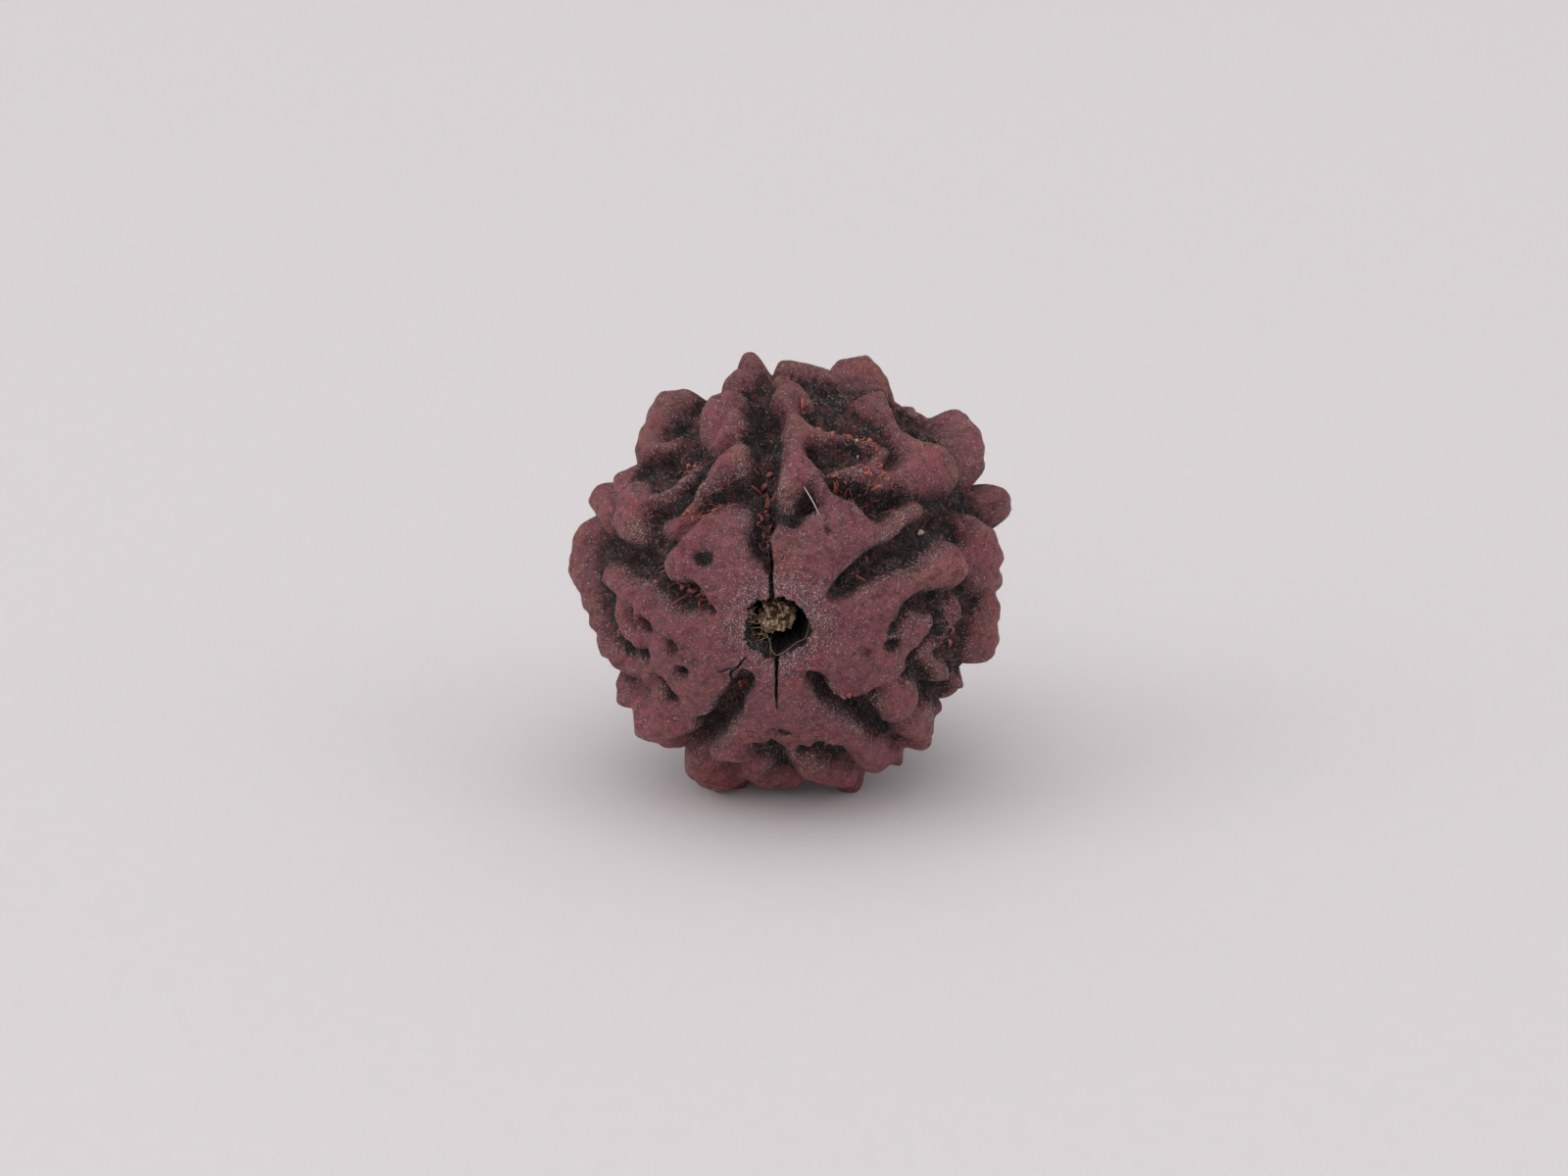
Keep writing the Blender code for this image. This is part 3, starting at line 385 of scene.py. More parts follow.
# %% The upper right face
RIDGES_UPPER_RIGHT = [
    [(91, 71, 0.78, 0.25), (90, 65, 0.55, 0.0), (88, 60, 0.8, 0.1), (86, 54, 0.7, 0.0),
     (86, 47, 0.95, 0.1)],
    [(88, 61, 0.6, 0.0), (82, 60, 0.6, -0.1)],
    [(86.5, 37.5, 1.1, 0.15), (86, 42, 1.2, 0.15), (80, 44.5, 1.0, 0.08), (74, 43, 0.75, 0.0),
     (69.5, 41, 0.6, -0.05)],
    [(41, 40, 0.95, 0.0), (38.5, 47, 0.75, 0.12), (37.5, 53, 0.7, 0.05)],
    [(70.5, 47.5, 0.48, -0.1), (62.5, 49, 0.58, -0.1), (56.5, 50.8, 0.58, -0.1), (51.5, 52.5, 0.5, -0.15),
     (49.5, 57.5, 0.38, -0.35)],
    [(57.5, 51, 0.5, -0.12), (56, 62, 0.36, -0.4)],
    [(80, 59, 0.5, -0.25), (74.6, 59.5, 0.48, -0.3), (69, 60.5, 0.48, -0.35), (63.6, 61.5, 0.45, -0.4),
     (59.5, 62.5, 0.4, -0.5)],
    [(74, 69, 0.36, -0.65), (68, 68, 0.36, -0.6), (63, 67, 0.36, -0.65)],
    [(67, 79, 1.1, 0.35), (62, 74, 0.75, 0.15), (57, 70, 0.6, 0.0), (51, 69, 0.6, 0.05),
     (46, 70, 0.85, 0.2)],
    [(46, 57, 0.7, -0.15), (45, 63, 1.0, 0.15), (42, 70, 1.3, 0.35), (38, 74, 1.0, 0.25)],
    [(78, 98, 0.7, 0.5), (73, 98, 0.95, 1.0), (68, 96, 0.85, 0.6), (64, 93, 0.6, -0.2)],
    [(93, 93, 0.7, 0.2), (86, 92, 0.75, 0.15), (79, 91, 0.7, 0.0)],
    [(92, 82, 0.65, 0.0), (87, 75, 0.42, -0.3), (82, 69, 0.4, -0.4)],
    [(45, 98, 0.65, 1.0), (40, 96, 0.95, 1.1), (35.5, 92, 1.05, 1.1), (31.5, 86, 0.9, 0.7)],
    [(60, 96, 0.8, -0.7), (52, 96, 0.8, -0.5)],
    [(18.5, 91, 0.6, 0.55), (21, 92, 0.8, 1.0), (24.5, 93, 0.7, 0.5),
     (27, 93, 0.5, 0.1)],
]

# %% The right face
RIDGES_RIGHT = [
    [(3, 25, 0.55, 0.0), (8, 31.5, 0.75, 0.12), (11.5, 38, 0.85, 0.18), (14, 45, 0.95, 0.2),
     (14, 53, 1.2, 0.28), (14, 58, 1.0, 0.2)],
    [(355, 41, 1.0, 0.02), (354, 44, 0.8, 0.0)],
    [(322, 33, 0.6, 0.03)],
    [(323, 43, 0.95, 0.05), (320, 48.5, 1.35, 0.25), (315.5, 46, 0.9, 0.1)],
    [(315, 62, 1.2, 0.1), (315, 73, 1.05, 0.35), (319, 76, 0.8, -0.25)],
    [(310, 77, 0.95, 0.65)],
    [(357, 57, 1.05, -0.35), (350, 55, 0.7, -0.6), (2, 51, 0.55, -0.7)],
    [(0, 83, 0.95, 0.15), (4, 72, 0.9, -0.2)],
    [(354, 79, 1.0, 0.3), (346, 75, 1.2, 0.45), (341, 75, 0.8, 0.4)],
    [(330.5, 75, 0.5, 0.1), (333, 66, 0.5, -0.2)],
    [(339, 52, 0.6, -0.35), (335, 59, 0.7, -0.2)],
    [(341, 47, 0.42, -0.4), (346, 50, 0.5, -0.45)],
    [(20, 71, 1.0, 0.1), (14.5, 74, 1.35, 0.35), (8, 78, 1.15, 0.3)],
    [(11, 66, 0.6, -0.3)],
]

# %% The lower face
RIDGES_BELOW = [
    [(252, 28, 0.6, 0.0), (251, 38, 0.85, 0.05), (250, 46, 1.05, 0.12), (251, 55, 1.3, 0.3)],
    [(258, 42, 0.5, 0.0), (265, 40.5, 0.5, -0.1), (272, 43.5, 0.55, -0.12), (277, 42, 0.4, -0.15),
     (281, 43.5, 0.5, -0.12), (285, 41, 0.45, -0.1)],
    [(291, 30, 0.8, 0.02), (293, 38, 0.9, 0.06), (296, 46, 0.75, 0.1), (298.5, 55, 0.8, 0.2),
     (299, 64, 0.9, 0.5), (297, 72, 1.0, 0.6)],
    [(272, 49, 0.45, -0.3), (276, 57, 0.8, 0.0), (280, 65, 1.0, 0.3), (286, 71, 1.1, 0.65)],
    [(241, 66, 0.9, 0.8), (247, 72, 1.2, 1.15), (253, 76, 1.1, 1.1)],
    [(263, 58, 0.6, -0.25), (260, 70, 0.9, 0.35), (266, 74, 0.9, 0.3), (273, 75, 0.9, 0.25)],
    [(303, 75, 0.9, 0.65)],
]

# %% The left face
RIDGES_LEFT = [
    [(184, 27, 0.7, 0.0), (180, 38, 0.8, 0.05), (176.5, 48, 0.95, 0.1), (174.5, 59, 1.05, 0.15)],
    [(169, 82, 1.1, 0.5), (175, 84, 1.35, 0.65), (182, 80, 1.25, 0.5)],
    [(184, 54, 0.7, -0.15), (192, 52, 0.7, -0.2), (197, 47, 0.7, -0.15)],
    [(188, 75, 1.0, 0.35), (193, 67, 0.8, 0.0)],
    [(198, 69, 1.0, 0.15), (204, 65, 0.95, 0.15), (206, 54, 0.7, -0.2)],
    [(211, 50, 0.8, -0.2), (212, 60, 0.7, -0.5)],
    [(215, 71, 0.7, 0.6), (220, 60, 0.6, 0.0)],
    [(226, 36, 1.2, 0.02), (226, 46, 1.2, 0.08), (226.5, 57, 1.5, 0.5), (226, 67, 1.35, 0.95),
     (231.5, 68, 1.1, 0.5)],
]
DRAWN_RUNS = RIDGES_UPPER_LEFT + RIDGES_UPPER_RIGHT + RIDGES_RIGHT + RIDGES_BELOW + RIDGES_LEFT
print("runs drawn by hand:", len(DRAWN_RUNS))

# %% [markdown]
# ## Furrows and hollows
#
# The five furrows are deep grooves between the petals, each again a run of places, now with the level
# of its floor. Hollows are small pits and grooves sunk into whatever is there.

# %% The five furrows
FURROWS = [
    [(28, 18, 0.35, -0.6), (29.5, 22, 0.5, -1.1), (30.4, 26.5, 0.56, -1.4), (31.2, 32, 0.58, -1.7),
     (31.5, 38, 0.6, -1.8), (30.3, 45, 0.6, -1.8), (27.5, 52, 0.6, -1.8), (27.5, 60, 0.6, -1.8),
     (28, 66, 0.54, -1.7), (28, 74, 0.4, -1.4), (29, 84, 0.25, -0.7)],
    [(104, 16.5, 0.3, -0.8), (103, 20.5, 0.48, -1.3), (100.5, 26, 0.66, -1.6), (99.3, 33, 0.72, -1.7),
     (98.4, 40, 0.76, -1.8), (97.4, 50, 0.74, -1.8), (97.5, 60, 0.68, -1.8), (98.6, 70, 0.6, -1.7),
     (99, 80, 0.46, -1.4), (97, 96, 0.3, -0.65)],
    [(172, 19.5, 0.35, -0.9), (171, 23, 0.58, -1.3), (169.5, 28, 0.66, -1.6), (167.5, 33.5, 0.66, -1.7),
     (165, 38, 0.62, -1.8), (163, 43, 0.58, -1.8), (163.2, 48, 0.5, -1.8), (165.3, 55, 0.46, -1.7),
     (166.5, 64, 0.42, -1.6), (167.3, 73, 0.32, -1.0), (166, 84, 0.2, 0.5)],
    [(241, 20.5, 0.5, -0.9), (241.5, 24.5, 0.68, -1.4), (241.5, 32, 0.72, -1.7), (240.8, 39, 0.7, -1.8),
     (240, 46, 0.6, -1.8), (240, 52, 0.52, -1.6), (239.5, 60, 0.4, -1.1), (238.5, 70, 0.22, -0.2),
     (238, 84, 0.22, -0.3)],
    [(299.5, 18.5, 0.36, -0.8), (302, 24, 0.6, -1.4), (305, 30, 0.72, -1.7), (307.3, 36.5, 0.8, -1.8),
     (307, 43.5, 0.75, -1.8), (307, 50.5, 0.56, -1.7), (306, 58, 0.36, -1.2),
     (305.5, 66, 0.22, -0.3), (305, 82, 0.22, -0.3)],
]

# %% Pits and grooves
HOLLOWS = [
    [(144, 28.5, 0.45, 0.5), (139, 27.5, 0.4, 0.45)],
    [(62, 30.5, 0.26, 0.35)],
    [(75, 36, 0.42, 0.45), (72, 35, 0.35, 0.35)],
    [(81, 54.5, 0.38, 0.9), (77, 52.5, 0.3, 0.5), (74, 50, 0.26, 0.3)],
    [(101, 42, 0.4, 0.5), (110, 41.5, 0.42, 0.6), (120, 40, 0.36, 0.5), (130, 38.7, 0.28, 0.4)],
    [(121, 83, 0.5, 0.4), (122, 78, 0.75, 0.65), (119.5, 72, 0.45, 0.4)],
    [(122, 58, 0.4, 0.4)],
    [(135, 67, 0.5, 0.5), (131.5, 60, 0.45, 0.45)],
    [(57, 85, 0.5, 0.5), (48, 79, 0.5, 0.7), (40, 79, 0.42, 0.7), (33, 76, 0.36, 0.6)],
    [(73, 46, 0.3, 0.4), (67, 45, 0.42, 0.6), (59.3, 45, 0.45, 0.7), (52.2, 46, 0.45, 0.7),
     (46, 48.5, 0.4, 0.7), (43.1, 54, 0.3, 0.4)],
    [(358, 33.5, 0.28, 0.5), (2, 38, 0.3, 0.55), (6, 43, 0.3, 0.5), (5, 49, 0.35, 0.5)],
    [(354.5, 34, 0.4, 0.55)],
    [(345.5, 34.5, 0.48, 0.65)],
    [(338.5, 28.3, 0.28, 0.3)],
    [(334, 23, 0.2, 0.15)],
    [(318, 52, 0.25, 0.15)],
    [(188, 41.5, 0.46, 0.75)],
    [(197, 33.3, 0.52, 0.7)],
    [(213, 32, 0.52, 0.7)],
    [(215, 45, 0.4, 0.65), (221, 46.5, 0.38, 0.75)],
    [(193, 58.5, 0.45, 0.4)],
    [(211, 78, 0.45, 0.5), (212, 92, 0.5, 0.6)],
    [(325, 78, 0.45, 0.4), (325, 92, 0.5, 0.5)],
    [(264, 36.5, 0.35, 0.25), (271, 36, 0.45, 0.4), (278, 37.5, 0.35, 0.3)],
    [(276, 49.5, 0.6, 0.5), (284, 50.5, 0.65, 0.6), (290, 51, 0.5, 0.5)],
]
print("furrows:", len(FURROWS), "hollows:", len(HOLLOWS))

# %% [markdown]
# ## The side that the photograph doesn't show
#
# The five faces of such a stone are alike, so a rule carries the relief on: rows of knobs down each
# face, joined at random by ridges, with every draw seeded so that each run of the script gives the
# same stone. Close to the drawn part the knobs stay low, so they don't change the outline.

# %% Where the drawn relief ends
DRAWN_TO = 94.0
DRAWN_TO_SWING = 15.0
DRAWN_TO_TURN = 18.0
LOWER_AT_START = 0.6
LOWER_OVER = 9.0


def drawn_limit(lon):
    """The polar angle up to which the relief is drawn at a longitude."""
    return DRAWN_TO + DRAWN_TO_SWING * math.sin(math.radians(lon + DRAWN_TO_TURN))


def lowered(knob):
    """A knob of the hidden side, lower the closer it is to the drawn relief."""
    lon, polar, half_width, top = knob
    nearness = math.exp(-(polar - drawn_limit(lon)) / LOWER_OVER)
    return (lon, polar, half_width, top - LOWER_AT_START * nearness)


# %% The rule for the hidden knobs
HIDDEN_SEED = 5
FIRST_FURROW = 24.0
FIRST_ROW = 66.0
LAST_ROW = 158.0
ROW_STEP = 15.5
KNOB_PITCH = 3.1
BORDER_INSET = 1.55
KNOB_SHIFT = 0.42
SHIFT_BY_A_FURROW = 0.3
ROW_SHIFT = 1.8
KNOB_RADIUS = (0.72, 1.2)
KNOB_TOP = (-0.1, 0.45)
RIDGE_HALF_WIDTH = (0.42, 0.6)
RIDGE_TOP = (-0.6, -0.15)
RUNG_CHANCE = 0.55


def between(rng, pair):
    """A seeded draw between two values."""
    return float(rng.uniform(*pair))


def slim(rng, knob):
    """The end of a ridge at a knob."""
    lon, polar, _, _ = knob
    return (lon, polar, between(rng, RIDGE_HALF_WIDTH), between(rng, RIDGE_TOP))


def hidden_runs():
    """Knobs and ridges of the side that doesn't show, by a seeded rule."""
    rng = np.random.default_rng(HIDDEN_SEED)
    runs = []
    for face in range(FACES):
        first_furrow = FIRST_FURROW + face * 360.0 / FACES
        rows = []
        for row in range(int((LAST_ROW - FIRST_ROW) / ROW_STEP) + 1):
            polar = FIRST_ROW + row * ROW_STEP
            around = math.radians(360.0 / FACES) * MEAN_RADIUS * math.sin(math.radians(polar))
            count = max(2, round((around - 2.0 * BORDER_INSET) / KNOB_PITCH) + 1)
            knobs = []
            for place in range(count):
                across = BORDER_INSET + (around - 2.0 * BORDER_INSET) * place / (count - 1)
                inner = 0 < place < count - 1
                across += rng.normal(0.0, KNOB_SHIFT * (1.0 if inner else SHIFT_BY_A_FURROW))
                lon = first_furrow + 360.0 / FACES * across / around
                staggered = ROW_STEP / 2.0 if inner and place % 2 else 0.0
                shifted = polar + staggered + rng.normal(0.0, ROW_SHIFT)
                knobs.append((lon, shifted, between(rng, KNOB_RADIUS), between(rng, KNOB_TOP)))
            rows.append(knobs)
        for above, below in zip(rows, rows[1:]):
            runs.append([slim(rng, above[0]), slim(rng, below[0])])
            runs.append([slim(rng, above[-1]), slim(rng, below[-1])])
            for knob in above[1:-1]:
                nearest = sorted(below, key=lambda other, knob=knob: abs(other[0] - knob[0]))
                for other in nearest[:2]:
                    if rng.random() < RUNG_CHANCE:
                        runs.append([slim(rng, knob), slim(rng, other)])
        for knobs in rows:
            runs.extend([knob] for knob in knobs)
            for left, right in zip(knobs, knobs[1:]):
                if rng.random() < RUNG_CHANCE:
                    runs.append([slim(rng, left), slim(rng, right)])
    hidden = [run for run in runs if all(polar > drawn_limit(lon) for lon, polar, _, _ in run)]
    return [[lowered(knob) for knob in run] for run in hidden]


HIDDEN_RUNS = hidden_runs()
print("runs on the hidden side:", len(HIDDEN_RUNS))

# %% The furrows carried on to the far end
FURROW_HALF_WIDTH = 0.5
FURROW_FLOOR = -1.6
FURROW_STEP = 15.0
FURROW_RUNS_TO = 150.0
FURROW_TIP = (156.0, 0.3, -0.6)
FAR_CAP_EDGE = 165.0


def furrow_runs():
    """The five furrows, each carried on to the far end."""
    runs = []
    for run in FURROWS:
        lon, polar, _, _ = run[-1]
        further = np.arange(polar + FURROW_STEP, FURROW_RUNS_TO, FURROW_STEP)
        ends = [(lon, place, FURROW_HALF_WIDTH, FURROW_FLOOR) for place in further]
        runs.append([*run, *ends, (lon, *FURROW_TIP)])
    return runs


# %% [markdown]
# ## From runs to a surface
#
# Each run is first smoothed, so a ridge bends like a root and not like a wire. Across its width it has
# the profile of a bell. Where runs meet, a soft maximum melts them together. The furrows come last,
# with a soft minimum, so they cut through everything and keep a rounded lip.

# %% Smooth runs and their profile
DOME_WIDTH = 0.86
DOME_ROUND_TO = 0.85
DOME_ROUNDNESS = 1.1
DOME_FOOT = 1.45
DOME_REACH = DOME_WIDTH * DOME_FOOT
RUN_STEPS = 3


def smooth_line(points, steps):
    """Points on a smooth curve through the given ones, in steps from each to the next."""
    points = np.array([points[0], *points, points[-1]], float)
    line = []
    for before, start, end, after in zip(points, points[1:], points[2:], points[3:]):
        for share in np.arange(steps) / steps:
            curve = 2.0 * start + (end - before) * share
            curve += (2.0 * before - 5.0 * start + 4.0 * end - after) * share**2
            curve += (3.0 * start - before - 3.0 * end + after) * share**3
            line.append(curve / 2.0)
    return np.array([*line, points[-1]])


def rounded_run(run):
    """A run with more points, on a smooth curve through the given ones."""
    if len(run) < 3:
        return run
    points = [run[0]]
    for knob in run[1:]:
        turn = round((points[-1][0] - knob[0]) / 360.0) * 360.0
        points.append((knob[0] + turn, *knob[1:]))
    return [tuple(point) for point in smooth_line(points, RUN_STEPS)]


def dome(share):
    """The profile of a knob or ridge: round on its crest, with a foot that runs out softly to 0."""
    out = share / DOME_WIDTH
    top = np.sqrt(1.0 - (np.minimum(out, DOME_ROUND_TO) / DOME_ROUNDNESS) ** 2)
    height = math.sqrt(1.0 - (DOME_ROUND_TO / DOME_ROUNDNESS) ** 2)
    run = DOME_FOOT - DOME_ROUND_TO
    slope = -DOME_ROUND_TO / DOME_ROUNDNESS**2 / height * run
    away = np.clip((out - DOME_ROUND_TO) / run, 0.0, 1.0)
    foot = height * (1.0 + 2.0 * away) * (1.0 - away) ** 2 + slope * away * (1.0 - away) ** 2
    return np.where(out < DOME_ROUND_TO, top, foot)


# %% How far a place is from a run


def nearest_on_run(dirs, run):
    """For each direction: its distance from a run as a share of the half width, and the level there."""
    corners = [direction(lon, polar) for lon, polar, _, _ in run]
    best = np.full(len(dirs), np.inf)
    level = np.zeros(len(dirs))
    pairs = list(zip(range(len(run)), range(1, len(run)))) or [(0, 0)]
    for first, second in pairs:
        step = corners[second] - corners[first]
        length = float(step @ step)
        share = np.zeros(len(dirs))
        if length > 0.0:
            share = np.clip((dirs - corners[first]) @ step / length, 0.0, 1.0)
        foot = unit(corners[first] + share[:, None] * step)
        gap = np.linalg.norm(dirs - foot, axis=1) * MEAN_RADIUS
        half_width = run[first][2] + share * (run[second][2] - run[first][2])
        here = gap / half_width
        nearer = here < best
        best = np.where(nearer, here, best)
        level = np.where(nearer, run[first][3] + share * (run[second][3] - run[first][3]), level)
    return best, level


def reached(dirs, run, margin):
    """The directions that a run reaches, margin half widths away: which, how far off and the level."""
    corners = np.array([direction(lon, polar) for lon, polar, _, _ in run])
    middle = unit(corners.mean(axis=0))
    spread = np.linalg.norm(corners - middle, axis=1).max()
    reach = spread + margin * max(half_width for _, _, half_width, _ in run) / MEAN_RADIUS
    near = np.nonzero(np.linalg.norm(dirs - middle, axis=1) < reach)[0]
    return near, *nearest_on_run(dirs[near], run)


# %% How far a place is inside the petals


def flat_map(lon, polar):
    """Places on a flat map of the stone, in millimetres from the pore."""
    turn = np.radians(lon)
    return np.stack([np.cos(turn), np.sin(turn)], axis=1) * (np.radians(polar) * MEAN_RADIUS)[:, None]


def cap_depth(dirs):
    """How far inside the edge of the cap each direction lies, in millimetres, less than 0 outside."""
    flat = flat_map(*angles(dirs))
    edge = flat_map(*np.array(CAP_EDGE, float).T)
    nearest = np.full(len(dirs), np.inf)
    inside = np.zeros(len(dirs), bool)
    for a, b in zip(edge, np.roll(edge, -1, axis=0)):
        step = b - a
        share = np.clip((flat - a) @ step / (step @ step), 0.0, 1.0)
        gap = np.linalg.norm(flat - a - share[:, None] * step, axis=1)
        nearest = np.minimum(nearest, gap)
        crosses = (a[1] > flat[:, 1]) != (b[1] > flat[:, 1])
        rise = step[1] if step[1] else 1e-9
        where = a[0] + (flat[:, 1] - a[1]) * step[0] / rise
        inside ^= crosses & (flat[:, 0] < where)
    return np.where(inside, nearest, -nearest)


def rounded(share):
    """0 to 1 with a round shoulder: a quarter of a circle."""
    share = np.clip(share, 0.0, 1.0)
    return np.sqrt(1.0 - (1.0 - share) ** 2)


# %% [markdown]
# The stone rests on three knobs. They reach a hair past the ground and are cut flat there, and the
# rest of the stone keeps a small gap to it.

# %% The three knobs that it lies on
FEET = [(255, 82, 1.15), (286, 82, 1.15), (270, 112, 1.3)]
FOOT_SUNK = 0.12
GROUND_CLEARANCE = 0.2
OUT_OF_REACH = 9.0
FACES_DOWN_FROM = 0.5
CENTRE_HEIGHT = SEED_CENTRE.z


def ground_height(dirs, depth):
    """The height over the rounded outline at which a direction reaches depth below the centre."""
    down = -(dirs @ STONE_AXES)[:, 2]
    reach = np.full(len(dirs), OUT_OF_REACH)
    lower = down > FACES_DOWN_FROM
    reach[lower] = depth / down[lower] - outline_radius(dirs[lower])
    return reach


def foot_runs():
    """The three knobs that reach the ground, and a little into it, to be cut flat."""
    runs = []
    for lon, polar, half_width in FEET:
        top = float(ground_height(direction([lon], [polar]), CENTRE_HEIGHT + FOOT_SUNK)[0])
        runs.append([(lon, polar, half_width, top)])
    return runs


# %% [markdown]
# A knob that stands high doesn't stand in a deep valley like a tooth: the stone swells round it. So the
# valleys rise where the runs near them do.

# %% The swelling round high knobs
SWOLLEN_FROM = 0.15
SWOLLEN_WIDTH = 1.7
SWOLLEN_POWER = 4.0


def bell(distance, width):
    """1 where the distance is 0, and near 0 from twice the width on."""
    return np.exp(-((distance / width) ** 2))


def swelling(dirs, runs):
    """How much the valleys rise round the knobs and ridges that stand high."""
    lifted = np.zeros(len(dirs))
    for run in runs:
        if max(top for _, _, _, top in run) > SWOLLEN_FROM:
            near, share, top = reached(dirs, run, 2.0 * SWOLLEN_WIDTH)
            swollen = np.maximum(0.0, top - SWOLLEN_FROM) * bell(share, SWOLLEN_WIDTH)
            lifted[near] += swollen**SWOLLEN_POWER
    return lifted ** (1.0 / SWOLLEN_POWER)


# %% Nothing runs quite straight
WANDER = 0.16
WANDER_WAVELENGTH = 2.6
WANDER_SEEDS = (11, 12, 13)


def wandered(dirs):
    """Directions moved a little by slow waves, so that nothing on the stone runs quite straight."""
    shift = [waves(dirs * MEAN_RADIUS, WANDER_WAVELENGTH, seed) for seed in WANDER_SEEDS]
    return unit(dirs + np.stack(shift, axis=1) * WANDER / MEAN_RADIUS)


# %% How deep the hollows go
PIT_POWER = 1.0
HOLLOW_RUNS = [rounded_run(run) for run in HOLLOWS]


def sunk_depth(dirs, runs, power):
    """How deep pits, grooves or cracks go at each direction, in millimetres."""
    sunk = np.zeros(len(dirs))
    for run in runs:
        near, share, depth = reached(dirs, run, 1.0)
        sunk[near] = np.maximum(sunk[near], depth * (1.0 - np.minimum(share, 1.0) ** 2) ** power)
    return sunk


# %% The relief as one formula; waves as wavelength, size and seed
FLOOR_LEVELS = (-0.8, -1.15)
FLOOR_SINKS = (18.0, 42.0)
FLOOR_WAVES = ((1.8, 0.1, 21),)
SWELL_WAVES = ((4.0, 0.07, 31),)
BLEND = 0.1
CAP_SHOULDER = 0.48
CAP_SPREAD = 0.24
FURROW_REACH = 1.6
WALL_FOOT = 0.62
WALL_RUN = 0.5
WALL_CURVE = 1.5
WALL_TOP = 0.9
RIM_BLEND = 0.09


def relief(dirs):
    """The height of the surface over the rounded outline, in millimetres."""
    points = dirs * MEAN_RADIUS
    moved = wandered(dirs)
    _, polar = angles(moved)
    runs = [rounded_run(run) for run in DRAWN_RUNS + HIDDEN_RUNS]
    floor = np.interp(polar, FLOOR_SINKS, FLOOR_LEVELS) + ripples(points, FLOOR_WAVES)
    floor += swelling(moved, runs)
    raised = np.zeros(len(dirs))
    for run in runs:
        near, share, top = reached(moved, run, DOME_REACH)
        raised[near] += np.expm1((top - floor[near]) * dome(share) / BLEND)
    for depth in (cap_depth(moved), np.radians(polar - FAR_CAP_EDGE) * MEAN_RADIUS):
        raised += np.expm1(-floor * rounded((depth + CAP_SPREAD) / CAP_SHOULDER) / BLEND)
    height = floor + BLEND * np.log1p(raised) + ripples(points, SWELL_WAVES)

    for run in furrow_runs():
        near, share, level = reached(moved, rounded_run(run), FURROW_REACH)
        wall = level + (WALL_TOP - level) * np.maximum(0.0, (share - WALL_FOOT) / WALL_RUN) ** WALL_CURVE
        height[near] = -RIM_BLEND * np.logaddexp(-height[near] / RIM_BLEND, -wall / RIM_BLEND)
    height -= sunk_depth(moved, HOLLOW_RUNS, PIT_POWER)
    height = np.minimum(height, ground_height(dirs, CENTRE_HEIGHT - GROUND_CLEARANCE))

    for run in foot_runs():
        near, share, top = reached(dirs, run, DOME_REACH)
        height[near] = np.maximum(height[near], floor[near] + (top - floor[near]) * dome(share))
    return height


# %% [markdown]
# ## What the solids leave out
#
# On the real stone two cracks run from the pore: a straight one up into the top furrow, and a short
# one down that fades out. A forked hairline crosses the lower left petal. They are slits with a
# depth, not drawn lines, so each is a narrow run that is cut out of the relief.

# %% Cracks, as longitude, polar angle, half width and depth
CRACKS = [
    [(100.9, 7.0, 0.13, 1.0), (99.8, 10.3, 0.12, 1.0), (99.0, 13.0, 0.11, 0.9), (97.9, 15.6, 0.1, 0.8),
     (97.0, 18.2, 0.09, 0.7), (97.0, 26.0, 0.08, 0.5), (97.0, 36.0, 0.06, 0.3)],
    [(268.7, 8.0, 0.12, 1.0), (268.9, 12.3, 0.09, 0.9), (269.0, 16.9, 0.065, 0.8),
     (269.0, 21.7, 0.045, 0.6), (268.8, 26.9, 0.03, 0.2)],
    [(229.5, 13.3, 0.045, 0.15), (229.7, 15.9, 0.05, 0.18), (230.6, 18.1, 0.055, 0.22),
     (229.2, 19.9, 0.06, 0.25), (230.2, 21.6, 0.06, 0.24), (233.4, 22.4, 0.06, 0.2),
     (235.0, 23.9, 0.045, 0.1)],
    [(230.2, 19.3, 0.05, 0.15), (226.0, 20.0, 0.045, 0.15), (224.2, 21.9, 0.045, 0.12),
     (222.2, 23.4, 0.04, 0.08)],
]
CRACK_POWER = 0.5
print("cracks:", len(CRACKS))

# %% [markdown]
# The skin of the ridges is waxy but not polished: it has soft dents. The valleys are rough, as if
# packed with grit. Both are added to the height itself, so that they are there in the shape and catch
# the light from every side. Before that, each place is blended a little with its neighbours, as
# handling wears the edges of the ridges round. Only what is finer than a fifth of a millimetre is
# left to the material.

# %% Dents and grit, as wavelength, size and seed
DENTS = ((1.5, 0.042, 51), (0.85, 0.032, 52), (0.45, 0.014, 53))
GRIT = ((0.5, 0.045, 61), (0.27, 0.04, 62))
WAVE_COUNT = 60
VALLEY_FROM = -0.47
VALLEY_TO = -0.95
PILLOW = 0.15
PILLOW_WIDTH = 1.3
PILLOW_LEAVES = -0.35
WEAR_ROUNDS = 5


def smooth_step(value, low, high):
    """0 at low, 1 at high, smooth in between. Low may be the larger one."""
    share = np.clip((value - low) / (high - low), 0.0, 1.0)
    return share * share * (3.0 - 2.0 * share)


def blurred(rings, rounds):
    """A grid over the stone, each value blended with its neighbours a number of times."""
    level = rings.copy()
    for _ in range(rounds):
        wide = (np.roll(level, 1, axis=1) + np.roll(level, -1, axis=1)) / 2.0
        padded = np.concatenate([level[:1], level, level[-1:]])
        long = (padded[:-2] + padded[2:]) / 2.0
        level = 0.5 * level + 0.25 * (wide + long)
    return level


